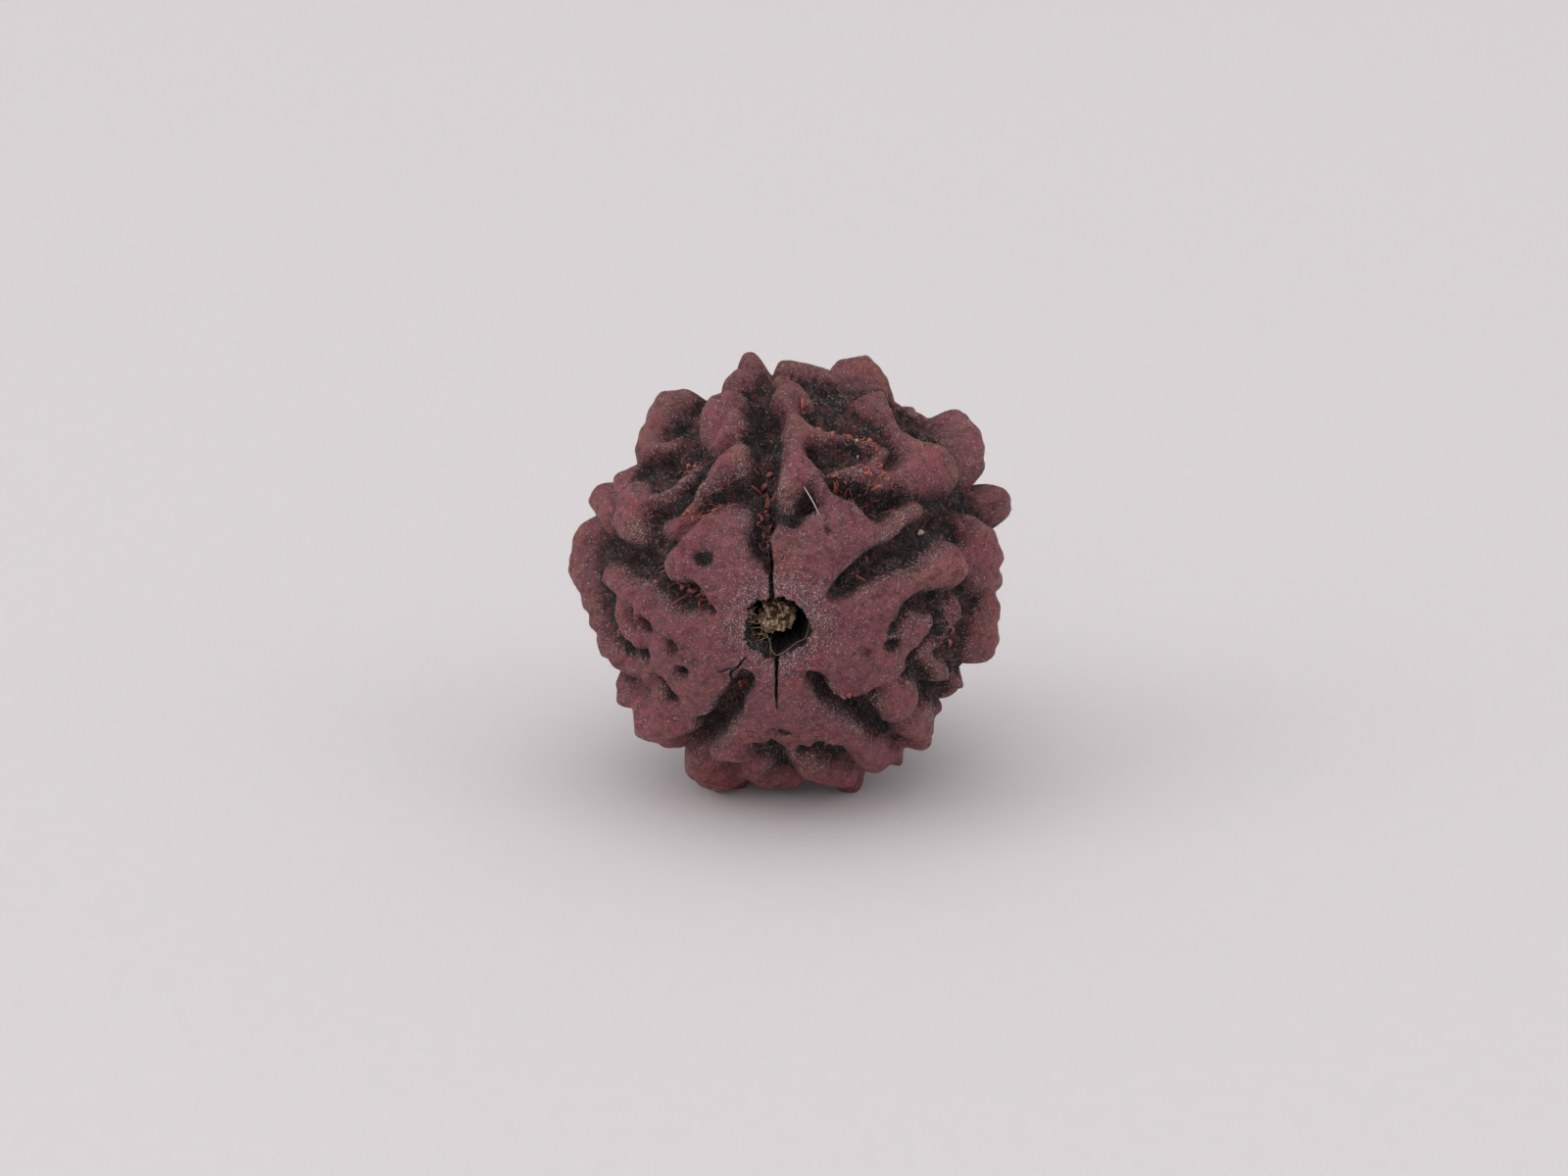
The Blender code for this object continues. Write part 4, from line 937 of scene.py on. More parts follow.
def fine_relief(dirs, worn):
    """The worn relief with cracks, dents and grit, and the petals a little fuller in the middle."""
    points = dirs * MEAN_RADIUS
    valley = smooth_step(worn, VALLEY_FROM, VALLEY_TO)
    height = worn + ripples(points, DENTS, WAVE_COUNT) + valley * ripples(points, GRIT, WAVE_COUNT)
    inside = cap_depth(dirs)
    height -= PILLOW * smooth_step(inside, PILLOW_WIDTH, 0.0) * smooth_step(inside, PILLOW_LEAVES, 0.0)
    height -= sunk_depth(dirs, CRACKS, CRACK_POWER)
    return np.minimum(height, ground_height(dirs, CENTRE_HEIGHT))


# %% [markdown]
# ## The pore
#
# The pore is a ragged hole with broken edges, pointed to the right. Its edge was read as a ring of
# polar angles, and small waves make it crumbly, each with its number round the pore, phase and size.

# %% The edge of the pore, as longitude and polar angle
PORE_EDGE = [
    (14.5, 8.6), (33.1, 7.9), (56.3, 8.1), (72.7, 7.8), (96.8, 7.5), (116.8, 7.9), (129.6, 8.6),
    (143.2, 8.8), (168.9, 8.6), (192.7, 9.2), (216.6, 10.5), (232.6, 10.2), (256.7, 10.6),
    (265.2, 9.5), (282.0, 9.1), (307.0, 9.0), (320.4, 9.4), (338.7, 9.5), (353.1, 10.0),
]
RAGGED = ((6, 4.8, 0.25), (15, 12.0, 0.22), (33, 26.4, 0.16), (69, 55.2, 0.1))
FAR_PORE_RADIUS = 0.8
FAR_EDGE = 180.0 - math.degrees(FAR_PORE_RADIUS / POLE_RADIUS)


def pore_edge(lon):
    """The polar angle of the pore's edge at each longitude."""
    places, polars = zip(*PORE_EDGE)
    edge = np.interp(lon, places, polars, period=360.0)
    for count, phase, size in RAGGED:
        edge += size * np.sin(np.radians(lon) * count + phase)
    return edge


# %% The rows of the stone's surface, as polar angle up to which a distance in millimetres holds
COLUMNS = 440
ROW_SIZES = ((13.0, 0.085), (24.5, 0.062), (60.0, 0.108), (105.0, 0.15), (180.0, 0.26))
NOMINAL_EDGE = 8.8


def row_shares():
    """Where the rows lie between the pore's edge (0) and the far opening (1): closest in front."""
    polar = NOMINAL_EDGE
    rows = [polar]
    for limit, size in ROW_SIZES:
        while polar < min(limit, FAR_EDGE):
            polar += math.degrees(size / MEAN_RADIUS)
            rows.append(polar)
    rows = np.array(rows)
    return (rows - rows[0]) / (rows[-1] - rows[0])


COLUMN_ANGLES = np.arange(COLUMNS) * 360.0 / COLUMNS
ROW_SHARES = row_shares()
print("rows:", len(ROW_SHARES), "columns:", COLUMNS)

# %% The outside of the stone, a direction for every row and column
near = pore_edge(COLUMN_ANGLES)
polar = near + (FAR_EDGE - near) * ROW_SHARES[:, None]
outside = direction(np.broadcast_to(COLUMN_ANGLES, polar.shape), polar)
flat_outside = outside.reshape(-1, 3)
unworn = relief(flat_outside).reshape(outside.shape[:2])
heights = fine_relief(flat_outside, blurred(unworn, WEAR_ROUNDS).ravel())
surface = flat_outside * (outline_radius(flat_outside) + heights)[:, None]
print("height over the outline, mm:", round(heights.min(), 2), "to", round(heights.max(), 2))

# %% [markdown]
# The canal goes right through the stone. Its wall starts at the pore's edge, narrows over the first
# millimetres and widens into a ledge at the lower left, where the wood has crumbled away.

# %% The wall of the canal; waves as wavelength, size and seed
CANAL_RADIUS = 1.15
CANAL_SHARES = (0.006, 0.014, 0.024, 0.036, 0.05, 0.07, 0.095, 0.13, 0.18, 0.25, 0.35, 0.48, 0.62, 0.75,
                0.86, 0.93, 0.97, 0.99)
NEAR_FUNNEL = 0.09
FAR_FUNNEL = 0.2
LEDGE_AT = 225.0
LEDGE_SPREAD = 32.0
LEDGE_SIZE = 0.42
LEDGE_DEPTH = 0.03
LEDGE_THICKNESS = 0.02
CANAL_WAVES = ((0.7, 0.05, 71), (0.35, 0.03, 72))


def canal_wall(near_edge, far_edge):
    """Rings of points from the pore's edge down the canal to the far opening."""
    away = (COLUMN_ANGLES - LEDGE_AT + 180.0) % 360.0 - 180.0
    ledge = LEDGE_SIZE * bell(away, LEDGE_SPREAD)
    rings = []
    for share in CANAL_SHARES:
        ring = near_edge + (far_edge - near_edge) * share
        across = np.linalg.norm(ring[:, :2], axis=1)
        ways = ring[:, :2] / across[:, None]
        ends = max(bell(share, NEAR_FUNNEL), bell(1.0 - share, FAR_FUNNEL))
        radius = CANAL_RADIUS + (across - CANAL_RADIUS) * ends
        radius -= ledge * bell(share - LEDGE_DEPTH, LEDGE_THICKNESS)
        radius += ripples(ring, CANAL_WAVES)
        ring[:, :2] = ways * radius[:, None]
        rings.append(ring)
    return np.array(rings)


grid = surface.reshape(*outside.shape)
canal = canal_wall(grid[0], grid[-1])
print("narrowest canal, mm across:", round(2.0 * np.linalg.norm(canal[..., :2], axis=2).min(), 2))

# %% [markdown]
# ## One closed skin
#
# The rings over the outside and the rings of the canal join into one closed skin, like a ring
# doughnut that has been stretched. The material needs to know where it is on the stone, so each point
# carries a few values, such as how far it stands out of what is round it, how dark the place is painted
# for dirt and painted shade, and how far it is from the pore.

# %% From rings to a mesh


def skin(name, rings, closed):
    """A mesh of quads over rings of points in metres; closed joins the last ring to the first."""
    rows, columns, _ = rings.shape
    row, column = np.meshgrid(np.arange(rows - (0 if closed else 1)), np.arange(columns), indexing="ij")
    after = (column + 1) % columns
    row = row * columns
    below = (row + columns) % (rows * columns)
    quads = np.stack([row + column, below + column, below + after, row + after], axis=-1)
    mesh = bpy.data.meshes.new(name)
    mesh.from_pydata(rings.reshape(-1, 3).tolist(), [], quads.reshape(-1, 4).tolist())
    mesh.update()
    mesh.shade_smooth()
    return mesh


def carry(mesh, name, values):
    """Gives each point of a mesh a value that the material can read."""
    made = mesh.attributes.new(name, "FLOAT", "POINT")
    made.data.foreach_set("value", np.ascontiguousarray(values, dtype=np.float32))


def show(name, mesh, finish):
    """Puts a mesh in the scene with its material."""
    mesh.materials.append(finish)
    piece = put_in_scene(name, mesh)
    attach(piece, "root")
    return piece


# %% The pits and cracks, found again for their colour
cracks = sunk_depth(flat_outside, CRACKS, CRACK_POWER)
pits = sunk_depth(wandered(flat_outside), HOLLOW_RUNS, PIT_POWER).reshape(outside.shape[:2])
print("deepest pit, mm:", round(pits.max(), 2))

# %% How far each place stands out
STAND_OUT_ROUNDS = 60
DIRT_AND_SHADE_ROUNDS = 5
DUST_ROUNDS = 110
CREASE_FROM = -0.2
CREASE_TO = -0.46
PIT_FROM = 0.03
PIT_TO = 0.32
PIT_DIRT_AND_SHADE = 0.85

height_grid = heights.reshape(outside.shape[:2])
crest_grid = height_grid - blurred(height_grid, STAND_OUT_ROUNDS)
# The dirt grid marks the valleys, creases and pits, to be painted dark: partly for the dirt that lies there,
# partly as painted shade where the relief sinks. The dust grid, a wide blur of it, says where pale dust
# gathers and also spreads the painted dark a little round the valleys.
in_a_valley = smooth_step(height_grid, VALLEY_FROM, VALLEY_TO)
in_a_crease = smooth_step(crest_grid, CREASE_FROM, CREASE_TO)
in_a_pit = PIT_DIRT_AND_SHADE * smooth_step(pits, PIT_FROM, PIT_TO)
dirt_and_shade_grid = blurred(np.maximum(np.maximum(in_a_valley, in_a_crease), in_a_pit), DIRT_AND_SHADE_ROUNDS)
dust_grid = blurred(dirt_and_shade_grid, DUST_ROUNDS)
print("stands out by, mm:", np.round(np.percentile(crest_grid, (1, 50, 99)), 2).tolist())

# %% A red stain below the pore, as longitude, polar angle and size in millimetres
STAINS = [(317.2, 15.4, 0.55), (310.0, 17.5, 0.35), (283.4, 17.3, 0.3), (297.0, 15.0, 0.3)]


def stain_strength(dirs):
    """How strong the stain is at each direction, from 0 to 1."""
    strength = np.zeros(len(dirs))
    for lon, polar, size in STAINS:
        gap = np.linalg.norm(dirs - direction(lon, polar), axis=1) * MEAN_RADIUS
        strength = np.maximum(strength, bell(gap, size))
    return strength


# %% The mesh of the stone
stone_mesh = skin("woody_stone", laid_down(np.concatenate([grid, canal[::-1]])), closed=True)
CARRIED = {
    "crest": (crest_grid, -0.4),
    "dirt_and_shade": (dirt_and_shade_grid, 1.0),
    "dust": (dust_grid, 1.0),
    "stain": (stain_strength(flat_outside), 0.0),
    "from_pore": (angles(flat_outside)[1], 0.0),
    "crack": (cracks, 1.0),
}
# Inside the canal these values paint the wall near black, as painted shade in the hole.
for name, (outer, in_the_canal) in CARRIED.items():
    carry(stone_mesh, name, np.append(outer.ravel(), np.full(canal.shape[0] * COLUMNS, in_the_canal)))
lowest = min(v.co.z for v in stone_mesh.vertices)
print("stone:", 2 * len(stone_mesh.polygons), "triangles, lowest point at", round(lowest / MM, 3), "mm")

# %% [markdown]
# ## The wood
#
# Dried and handled wood of this kind is mulberry red with a dull wax sheen, more purple on the petals
# and browner on the knobs. The valleys are painted nearly black, partly for the dark dirt in them and
# partly as painted shade, with grey dust in them, and fine pale dust lies on everything, most of all
# along the edges. Painting this from the height of each place, broken up by noise at a few scales, puts
# the dirt where it gathers on the real stone, and painted shade on the slopes, in the creases and in the
# cracks.

# %% The colours of the wood
MULBERRY = (0.192, 0.05, 0.068)
RED_BROWN = (0.262, 0.058, 0.075)
CRIMSON = (0.24, 0.04, 0.056)
WARM_CREST = (0.3, 0.095, 0.052)
WORN_CREST = (0.29, 0.12, 0.11)
STAIN_RED = (0.3, 0.03, 0.06)
# A dark wood, for darker patches of the wood and as painted shade in creases, on slopes and round the
# valleys.
DARK_WOOD_AND_SHADE = (0.06, 0.02, 0.021)
# A near black: dark dirt and painted shade on the valley floors, painted shade in the cracks and the canal,
# and the dark specks.
VALLEY_BLACK = (0.008, 0.0065, 0.007)
VALLEY_DUST = (0.042, 0.03, 0.029)
TORN_SKIN = (0.12, 0.034, 0.032)
RIM_DUST = (0.15, 0.08, 0.078)
PALE_DUST = (0.5, 0.44, 0.43)
WAX_ROUGHNESS = 0.5
VALLEY_ROUGHNESS = 0.95
WAX_GLOSS = 0.42

wood, tree, shader, where = new_material("wood", MULBERRY, WAX_ROUGHNESS, WAX_GLOSS)
crest, dirt_and_shade_here, dust_here, stain, from_pore, crack = (attribute(tree, name) for name in CARRIED)
print("the material reads:", ", ".join(CARRIED))

# %% The noises of the wood, as clouds in millimetres, detail, seed and roughness
NOISES = {
    "drift": (1.6, 3.0, 1.0, 0.55),
    "mottle": (0.3, 4.0, 2.0, 0.55),
    "settled": (0.5, 4.0, 3.0, 0.55),
    "speck": (0.075, 1.5, 4.0, 0.6),
    "flake": (0.16, 2.0, 5.0, 0.6),
    "haze": (0.9, 4.0, 5.0, 0.55),
    "skin": (0.16, 4.0, 6.0, 0.65),
    "grit": (0.11, 3.0, 7.0, 0.7),
    "fine": (0.1, 3.0, 8.0, 0.65),
    "patch": (2.3, 2.0, 9.0, 0.55),
    "dark speck": (0.085, 1.5, 10.0, 0.6),
    "torn": (0.42, 4.0, 11.0, 0.6),
    "flush": (0.8, 3.0, 12.0, 0.55),
}
clouds = {name: noise(tree, where, *values) for name, values in NOISES.items()}
drift = maths(tree, "SUBTRACT", clouds["drift"], 0.5)
print("noises:", ", ".join(NOISES))

# %% Where the ridges are browner and warmer
WARM_IN_VALLEYS = 0.4

outward = maths(tree, "ADD", fade(tree, from_pore, 25.0, 60.0), drift, clamp=True)
on_crests = maths(tree, "MAXIMUM", fade(tree, crest, 0.05, 0.3), WARM_IN_VALLEYS)
warm = maths(tree, "MULTIPLY", fade(tree, clouds["patch"], 0.45, 0.62), on_crests)

# %% Where the dirt and the painted shade are
GRIT_CONTRAST = 1.9
DIRT_AND_SHADE_SPREADS = 0.14
GRIT_NEAR_DIRT_AND_SHADE = 0.3
TORN_SHARE = 0.6

# The valleys, creases and pits are painted dark, partly for dirt and partly as painted shade, and the dark
# spreads a little round them, broken up by grit and mottle. The slopes down into the valleys are darkened as
# painted shade, a halo round them as dirt and painted shade, and the valley floors go near black, as dark
# dirt and painted shade, with grey dust and torn skin in it.
gritty = maths(tree, "MULTIPLY", maths(tree, "SUBTRACT", clouds["grit"], 0.5), GRIT_CONTRAST)
uneven = maths(tree, "ADD", maths(tree, "SUBTRACT", clouds["mottle"], 0.5), gritty)
spread = maths(tree, "MULTIPLY", fade(tree, dust_here, 0.08, 0.5), DIRT_AND_SHADE_SPREADS)
ragged_dirt_and_shade = maths(tree, "ADD", maths(tree, "ADD", dirt_and_shade_here, spread), uneven)
sloping = fade(tree, ragged_dirt_and_shade, 0.05, 0.6)
deep = fade(tree, ragged_dirt_and_shade, 0.48, 0.7)
grit_here = maths(tree, "ADD", dust_here, maths(tree, "MULTIPLY", gritty, GRIT_NEAR_DIRT_AND_SHADE))
near_dirt_and_shade = fade(tree, grit_here, 0.02, 0.42)
rim = maths(tree, "MULTIPLY", fade(tree, dust_here, 0.05, 0.35), fade(tree, clouds["drift"], 0.35, 0.6))
dirt_and_shade = blend(tree, fade(tree, clouds["settled"], 0.5, 0.68), VALLEY_BLACK, VALLEY_DUST)
torn = maths(tree, "MULTIPLY", fade(tree, clouds["torn"], 0.47, 0.6), TORN_SHARE)
dirt_and_shade = blend(tree, torn, dirt_and_shade, TORN_SKIN)

# %% Where the fine pale dust is
EDGES_UNEVEN = 0.5
SPECKS_FROM = 0.635
MORE_SPECKS = 0.085
DUST_ON_TOP = 0.55
LESS_DUST_BELOW = 0.4

near_pore = fade(tree, from_pore, 22.0, 9.0)
edges = maths(tree, "ADD", dust_here, maths(tree, "MULTIPLY", drift, EDGES_UNEVEN))
on_edges = fade(tree, edges, 0.1, 0.5)
on_knobs = maths(tree, "MULTIPLY", on_edges, fade(tree, from_pore, 75.0, 40.0))
gathers = maths(tree, "MAXIMUM", on_knobs, near_pore)
needed = maths(tree, "SUBTRACT", SPECKS_FROM, maths(tree, "MULTIPLY", gathers, MORE_SPECKS))
dusty = fade(tree, maths(tree, "SUBTRACT", clouds["speck"], needed), 0.0, 0.04)
# Dark specks: pinpricks in the wood, and painted shade between the pale specks of dust.
pinpricks_and_speck_shade = fade(tree, maths(tree, "SUBTRACT", clouds["dark speck"], needed), -0.03, 0.03)
less_below = maths(tree, "SUBTRACT", DUST_ON_TOP, maths(tree, "MULTIPLY", deep, LESS_DUST_BELOW))
dust_or_flake = maths(tree, "MAXIMUM", dusty, fade(tree, clouds["flake"], 0.665, 0.7))
dust_share = maths(tree, "MULTIPLY", dust_or_flake, less_below)

# %% The layers of colour from the wood up, as where each lies, how strong it is and its colour
LAYERS = (
    (fade(tree, clouds["flush"], 0.48, 0.66), 0.55, CRIMSON),
    (warm, 0.55, WARM_CREST),
    (fade(tree, crest, 0.15, 0.5), 0.15, WORN_CREST),
    (stain, 0.6, STAIN_RED),
    (fade(tree, clouds["mottle"], 0.43, 0.64), 0.65, DARK_WOOD_AND_SHADE),
    (fade(tree, clouds["fine"], 0.5, 0.68), 0.6, DARK_WOOD_AND_SHADE),
    # Painted shade: darker where the surface lies below what is round it.
    (fade(tree, crest, 0.02, -0.2), 0.5, DARK_WOOD_AND_SHADE),
    # Painted dark round the valleys and on the slopes down into them: dirt and painted shade.
    (near_dirt_and_shade, 0.42, DARK_WOOD_AND_SHADE),
    (sloping, 0.5, DARK_WOOD_AND_SHADE),
    (rim, 0.18, RIM_DUST),
    # The valley floors near black: dark dirt and painted shade, with grey dust and torn skin.
    (deep, 1.0, dirt_and_shade),
    # Painted shade: the cracks painted black.
    (fade(tree, crack, 0.01, 0.06), 1.0, VALLEY_BLACK),
    # Dark specks: pinpricks, and painted shade between the pale specks of dust.
    (pinpricks_and_speck_shade, 0.62, VALLEY_BLACK),
    (fade(tree, clouds["haze"], 0.4, 0.75), 0.04, PALE_DUST),
    (dust_share, 1.0, PALE_DUST),
)
wood_colour = blend(tree, outward, MULBERRY, RED_BROWN)
for share, strength, colour in LAYERS:
    wood_colour = blend(tree, maths(tree, "MULTIPLY", share, strength), wood_colour, colour)
tree.links.new(wood_colour, shader.inputs["Base Color"])
print("layers of colour:", len(LAYERS))

# %% Sheen and grain of the skin
SKIN_GRAIN = 0.06
SKIN_STRENGTH = 0.8

dull = maths(tree, "MAXIMUM", sloping, dust_share)
dullness = {"Value": dull, "To Min": WAX_ROUGHNESS, "To Max": VALLEY_ROUGHNESS}
tree.links.new(add_node(tree, "ShaderNodeMapRange", dullness).outputs["Result"], shader.inputs["Roughness"])
roughen(tree, shader, clouds["skin"], SKIN_GRAIN, SKIN_STRENGTH)

# %% The stone takes its place
stone = show("woody_stone", stone_mesh, wood)
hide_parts("seed")
print("stone in place of the solid, material of", len(tree.nodes), "nodes")

# %% [markdown]
# ## The pith in the pore
#
# What is left of the soft core stands in the pore as a crumbly, beige lump with fibres round it. The
# solid is a plain column. Here its head is broken up: rings of points pushed in and out by waves of
# three sizes, with the sharp ones strongest at the top, where it has crumbled.

# %% The shape of the pith; waves as wavelength, size and seed
PITH_CENTRE = (-0.16, 0.2)
PITH_HEAD_RADIUS = 0.8
PITH_FOOT_RADIUS = 0.6
PITH_TOP = 9.5
PITH_FOOT = 5.4
PITH_COLUMNS = 120
PITH_ROWS = 90
PITH_ROWS_CLOSER = 1.6
PITH_FIRST_ROW = 0.0004
PITH_DOME = 0.2
PITH_DOME_FLATNESS = 0.25
PITH_LEANS = 0.8
PITH_SKIN = 1.0
PITH_WAVES = ((0.7, 0.08, 81), (0.3, 0.05, 82), (0.15, 0.032, 83))
PITH_WAVES_BELOW = 0.3


def make_pith():
    """Rings from the middle of the head down to the foot, and how far the waves push each point."""
    lon = np.arange(PITH_COLUMNS) * 2.0 * math.pi / PITH_COLUMNS
    rings = []
    for row in range(PITH_ROWS):
        share = (row / (PITH_ROWS - 1)) ** PITH_ROWS_CLOSER
        over = min(1.0, (share + PITH_FIRST_ROW) / PITH_DOME)
        radius = (PITH_HEAD_RADIUS + (PITH_FOOT_RADIUS - PITH_HEAD_RADIUS) * share) * rounded(over)
        down = share * (PITH_DOME_FLATNESS + (1.0 - PITH_DOME_FLATNESS) * over)
        high = PITH_TOP + (PITH_FOOT - PITH_TOP) * down
        middle = np.array(PITH_CENTRE) * (1.0 - PITH_LEANS * share)
        ring = np.stack([middle[0] + radius * np.cos(lon), middle[1] + radius * np.sin(lon)], axis=1)
        rings.append(np.column_stack([ring, np.full(PITH_COLUMNS, high)]))
    rings = np.array(rings)
    flat = rings.reshape(-1, 3)
    crumbs = ripples(flat, PITH_WAVES)
    strength = smooth_step(flat[:, 2], PITH_FOOT, PITH_TOP - PITH_SKIN)
    strength = PITH_WAVES_BELOW + (1.0 - PITH_WAVES_BELOW) * strength
    flat += unit(flat - (*PITH_CENTRE, PITH_TOP - PITH_SKIN)) * (crumbs * strength)[:, None]
    return flat.reshape(rings.shape), crumbs


pith_rings, pith_crumbs = make_pith()
pith_mesh = skin("pith_head", laid_down(pith_rings), closed=False)
build = bmesh.new()
build.from_mesh(pith_mesh)
bmesh.ops.holes_fill(build, edges=build.edges, sides=0)
bmesh.ops.recalc_face_normals(build, faces=build.faces)
build.to_mesh(pith_mesh)
build.free()
carry(pith_mesh, "crumb", pith_crumbs)
print("pith:", len(pith_mesh.polygons), "faces")

# %% The colours of the pith
PITH_BEIGE = (0.29, 0.19, 0.12)
PITH_CREAM = (0.6, 0.47, 0.33)
PITH_BROWN = (0.06, 0.032, 0.02)
PITH_ROUGHNESS = 0.92
FIBRE_GLOSS = 0.2
PITH_STRETCH = (1.0, 0.3, 0.45)
PITH_GRAIN = 0.09

pith, tree, shader, where = new_material("pith", PITH_BEIGE, PITH_ROUGHNESS, FIBRE_GLOSS)
streak = add_node(tree, "ShaderNodeMapping", {"Vector": where, "Scale": PITH_STRETCH}).outputs[0]
pale = fade(tree, noise(tree, streak, 0.11, 3.0, 1.0), 0.5, 0.64)
gaps = fade(tree, noise(tree, streak, 0.13, 3.0, 2.0), 0.5, 0.62)
pith_colour = blend(tree, pale, PITH_BEIGE, PITH_CREAM)
# The first darkening paints the dents of the crumbly head brown, as painted shade; the second follows
# streaky noise.
for dark in (fade(tree, attribute(tree, "crumb"), 0.02, -0.1), gaps):
    pith_colour = blend(tree, dark, pith_colour, PITH_BROWN)
tree.links.new(pith_colour, shader.inputs["Base Color"])
roughen(tree, shader, noise(tree, where, 0.1, 4.0, 3.0), PITH_GRAIN)

pith_head = show("pith_head", pith_mesh, pith)
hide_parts("pith_plug")
print("pith in place of its solid")

# %% [markdown]
# ## Small loose matter
#
# Torn fibres, lint and crumbs are far too many to model one by one, and particles would be lost in the
# export. So one helper turns a list of bent lines into thin tubes with few sides, all in one mesh, and
# another finds the surface of the stone under any direction, so that everything lies on the wood.

# %% Finding the surface
ROW_NUMBERS = np.arange(len(ROW_SHARES))
WOOD_FROM = 10.5
WOOD_TO = 174.0


def on_grid(values, dirs):
    """The value of a grid over the stone at directions, blended between its rows and columns."""
    lon, polar = angles(dirs)
    near = pore_edge(lon)
    share = np.clip((polar - near) / (FAR_EDGE - near), 0.0, 1.0)
    row = np.interp(share, ROW_SHARES, ROW_NUMBERS)
    column = lon / 360.0 * COLUMNS
    top = np.minimum(row.astype(int), len(ROW_SHARES) - 2)
    left = column.astype(int) % COLUMNS
    right = (left + 1) % COLUMNS
    down = row - top
    along = column - np.floor(column)
    upper = values[top, left] * (1.0 - along) + values[top, right] * along
    lower = values[top + 1, left] * (1.0 - along) + values[top + 1, right] * along
    return upper * (1.0 - down) + lower * down


def on_stone(dirs, lift):
    """Points on the wood in the stone's own frame, raised by lift millimetres."""
    return dirs * (outline_radius(dirs) + on_grid(height_grid, dirs) + lift)[:, None]


def scattered(rng, count):
    """Even random directions all over the stone, but not over the pore."""
    dirs = unit(rng.normal(size=(count, 3)))
    _, polar = angles(dirs)
    return dirs[(polar > WOOD_FROM) & (polar < WOOD_TO)]


def sideways(rng, dirs):
    """For each direction a random unit vector at right angles to it."""
    ways = rng.normal(size=dirs.shape)
    return unit(ways - dirs * (ways * dirs).sum(axis=1)[:, None])


# %% From lines to tubes
TUBE_SIDES = 3
TUBE_TAPER = (0.15, 0.85)


def loose_mesh(name, corners, faces, tones):
    """A mesh of loose matter from points in the stone's frame. None of it goes under the table."""
    world = laid_down(np.array(corners).reshape(-1, 3))
    world[:, 2] = np.maximum(world[:, 2], 0.0)
    mesh = bpy.data.meshes.new(name)
    mesh.from_pydata(world.tolist(), [], faces)
    mesh.update()
    carry(mesh, "tone", tones)
    print(name + ":", len(faces), "faces")
    return mesh


def tubes(name, lines, radii, tones):
    """One mesh of thin closed tubes, one along each line of points in the stone's frame."""
    corners = []
    faces = []
    values = []
    turns = np.arange(TUBE_SIDES)[:, None] * 2.0 * math.pi / TUBE_SIDES
    for line, radius, tone in zip(lines, radii, tones):
        along = unit(np.gradient(line, axis=0))
        across = unit(np.cross(along, unit(line)))
        circle = across[:, None] * np.cos(turns) + np.cross(along, across)[:, None] * np.sin(turns)
        taper = np.sin(np.linspace(*TUBE_TAPER, len(line)) * math.pi) * radius
        start = len(corners)
        last = start + (len(line) - 1) * TUBE_SIDES
        corners.extend((line[:, None] + circle * taper[:, None, None]).reshape(-1, 3))
        values.extend([tone] * len(line) * TUBE_SIDES)
        for row in range(start, last, TUBE_SIDES):
            for side in range(TUBE_SIDES):
                a = row + side
                b = row + (side + 1) % TUBE_SIDES
                faces.append((a, b, b + TUBE_SIDES, a + TUBE_SIDES))
        faces.append(tuple(start + side for side in reversed(range(TUBE_SIDES))))
        faces.append(tuple(last + side for side in range(TUBE_SIDES)))
    mesh = loose_mesh(name, corners, faces, values)
    mesh.shade_smooth()
    return mesh


# %% A dull material for loose matter
FIBRE_ROUGHNESS = 0.9
TONE_CLOUD = 0.3
TONE_DETAIL = 2.0
TONE_SPREAD = 0.5
TONE_LIFT = 0.25


def plain_fibre(name, dark, light):
    """A dull material between two colours, by the tone that each thread or grain carries."""
    made, tree, shader, where = new_material(name, light, FIBRE_ROUGHNESS, FIBRE_GLOSS)
    uneven = maths(tree, "MULTIPLY", noise(tree, where, TONE_CLOUD, TONE_DETAIL), TONE_SPREAD)
    tone = maths(tree, "ADD", maths(tree, "ADD", uneven, attribute(tree, "tone")), TONE_LIFT, clamp=True)
    tree.links.new(blend(tree, tone, dark, light), shader.inputs["Base Color"])
    return made


# %% [markdown]
# ## Fibres of the pith
#
# A few strands were read from the photograph and are drawn across the pore, in millimetres to the
# right of its middle, above it and below its rim. A tuft of short ones clings to the left edge.

# %% Strands in the pore
PORE_FACE = 9.75
STRANDS = [
    [(-1.21, -0.43, -0.35), (-0.82, -0.58, -0.25), (-0.34, -0.48, -0.3), (0.05, -0.34, -0.4)],
    [(-1.21, -0.63, -0.2), (-0.72, -0.58, -0.12), (-0.39, -0.77, -0.08), (-0.27, -1.3, -0.05),
     (-0.05, -1.52, 0.02), (0.24, -1.45, -0.05), (0.63, -1.16, -0.12), (1.01, -0.87, -0.15),
     (1.3, -0.72, -0.2), (1.45, -0.24, -0.25), (1.5, 0.05, -0.2)],
    [(1.16, 0.82, -0.1), (1.45, 0.34, 0.0), (1.6, 0.0, 0.0), (1.74, -0.1, 0.02)],
    [(-1.4, 0.1, -0.1), (-1.0, -0.05, -0.15), (-0.7, 0.05, -0.3), (-0.5, 0.0, -0.35)],
    [(-1.3, -0.3, -0.2), (-0.9, -0.25, -0.15), (-0.55, -0.4, -0.25), (-0.2, -0.55, -0.4)],
]
STRAND_RADIUS = 0.018
STRAND_COLOURS = ((0.05, 0.028, 0.02), (0.42, 0.29, 0.19))
LINE_STEPS = 5
TUFT_COUNT = 34
TUFT_SEED = 91
TUFT_RADII = (0.007, 0.024)
TUFT_TURN = (150.0, 262.0)
TUFT_ROOT = (1.25, 1.75)
TUFT_DEEPEST = 0.5
TUFT_SPREAD = 0.25
TUFT_INWARDS = (0.05, 0.5)
